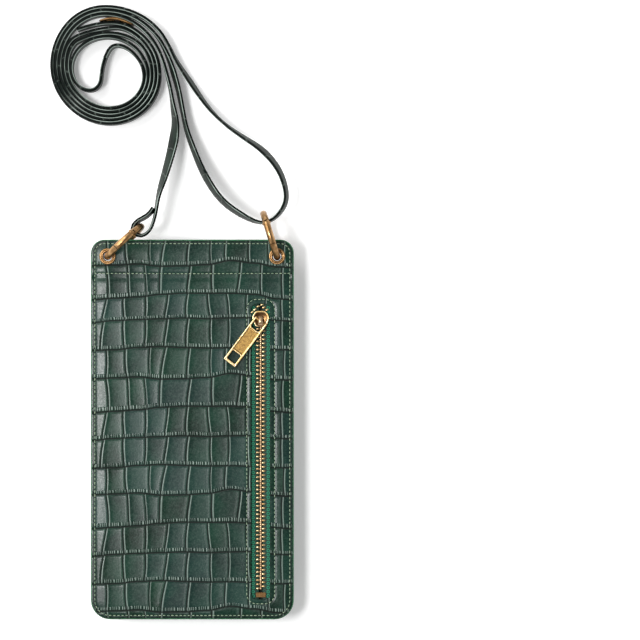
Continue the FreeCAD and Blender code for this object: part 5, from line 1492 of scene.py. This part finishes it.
rim, outward_by = rounded_path(*tab_shape(TAB_RIM, TAB_RIM), 0.5)
ends = zip(rim, np.roll(rim, -1, axis=0))
fine = [np.linspace(a, b, max(2, int(np.linalg.norm(b - a))))[:-1] for a, b in ends]
rim, outward_by = np.vstack(fine), np.repeat(outward_by, [len(part) for part in fine], axis=0)
rows = []
for angle in np.linspace(90, -90, 9):
    c, s = heading(angle)
    spot = rim + outward_by * TAB_RIM * c
    rows.append(on_tab(spot[:, 0], -spot[:, 1], TAB_THICK / 2 * s))
cells = quads(len(rows), len(rim), ring=True, flip=True)
tab_edge = mesh_object("tab_edge", in_frame(np.vstack(rows)), cells, PAINT)
dress(tab_skin, "embossed_leather", "closure_tab", body="tab")
for piece in (tab_back, tab_edge):
    dress(piece, "embossed_leather", body="tab")

seam, _ = rounded_path(*tab_shape(1.85, 1.6), 0.5)
ends = zip(seam, np.roll(seam, -1, axis=0))
dense = np.vstack([np.linspace(a, b, max(2, int(np.linalg.norm(b - a))), endpoint=False) for a, b in ends])
stitched("stitch_tab", on_tab(dense[:, 0], -dense[:, 1], TAB_THICK / 2 - SUNK), True, "tab")
print("tab: %.1f mm along, %d faces" % (TAB_LONG, len(faces)))

# %% [markdown]
# ## Light, floor and finish
#
# The photo was taken on white paper under soft daylight. A wide key light stands far to the upper left,
# and a small one gives the leather its local sheen. A third shines up from below the floor, which lets it
# through, because views from below should show the phone side too. An image of a real room could light
# the scene as well, but a few plain lights need no file.

# %% Light and floor
world = bpy.data.worlds.new("world")
scene.world = world
world.use_nodes = True
sky = world.node_tree
facing = sky.nodes.new("ShaderNodeTexCoord")
parts = sky.nodes.new("ShaderNodeSeparateXYZ")
height = sky.nodes.new("ShaderNodeMath")
height.operation = "ABSOLUTE"
shade = sky.nodes.new("ShaderNodeMapRange")
sky.links.new(facing.outputs["Generated"], parts.inputs[0])
sky.links.new(parts.outputs[2], height.inputs[0])
sky.links.new(height.outputs[0], shade.inputs[0])
for i, value in ((1, 0.4), (2, 0.92), (3, 0.75), (4, 0.1)):
    shade.inputs[i].default_value = value
sky.links.new(shade.outputs[0], sky.nodes["Background"].inputs[1])
sky.nodes["Background"].inputs[0].default_value = (1, 1, 1, 1)


def area_light(name, place, wide, tall, energy):
    data = bpy.data.lights.new(name, "AREA")
    data.energy = energy
    data.shape = "RECTANGLE"
    data.size, data.size_y = wide, tall
    light = bpy.data.objects.new(name, data)
    light.location = place
    aim = Vector((0.0, 0.0, 0.0)) - Vector(place)
    light.rotation_euler = aim.to_track_quat("-Z", "Y").to_euler()
    scene.collection.objects.link(light)


area_light("key", (-0.95, 0.95, 1.2), 1.4, 1.4, 25)
area_light("sheen", (-0.5, 0.0, 1.5), 0.4, 0.3, 15)
area_light("under", (0.1, -0.3, -1.3), 1.2, 1.2, 12)
floor_coat, t = new_material("floor")
t.set(Base_Color=(0.94, 0.94, 0.94, 1), Roughness=0.95, Emission_Color=(1, 1, 1, 1), Emission_Strength=0.22)
clear, choose = t.tree.nodes.new("ShaderNodeBsdfTransparent"), t.tree.nodes.new("ShaderNodeMixShader")
open_to = t.math("MAXIMUM", t.add("NewGeometry", out="Backfacing"), t.add("LightPath", out="Is Shadow Ray"))
t.tree.links.new(open_to, choose.inputs[0])
t.tree.links.new(t.shader.outputs[0], choose.inputs[1])
t.tree.links.new(clear.outputs[0], choose.inputs[2])
t.tree.links.new(choose.outputs[0], t.tree.nodes["Material Output"].inputs[0])
floor = mesh_object("floor", [(-3, -3, 0), (3, -3, 0), (3, 3, 0), (-3, 3, 0)], [(0, 1, 2, 3)], floor_coat)
left_over = [name for name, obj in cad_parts.items() if not obj.hide_render]
print("solids still shown:", left_over)
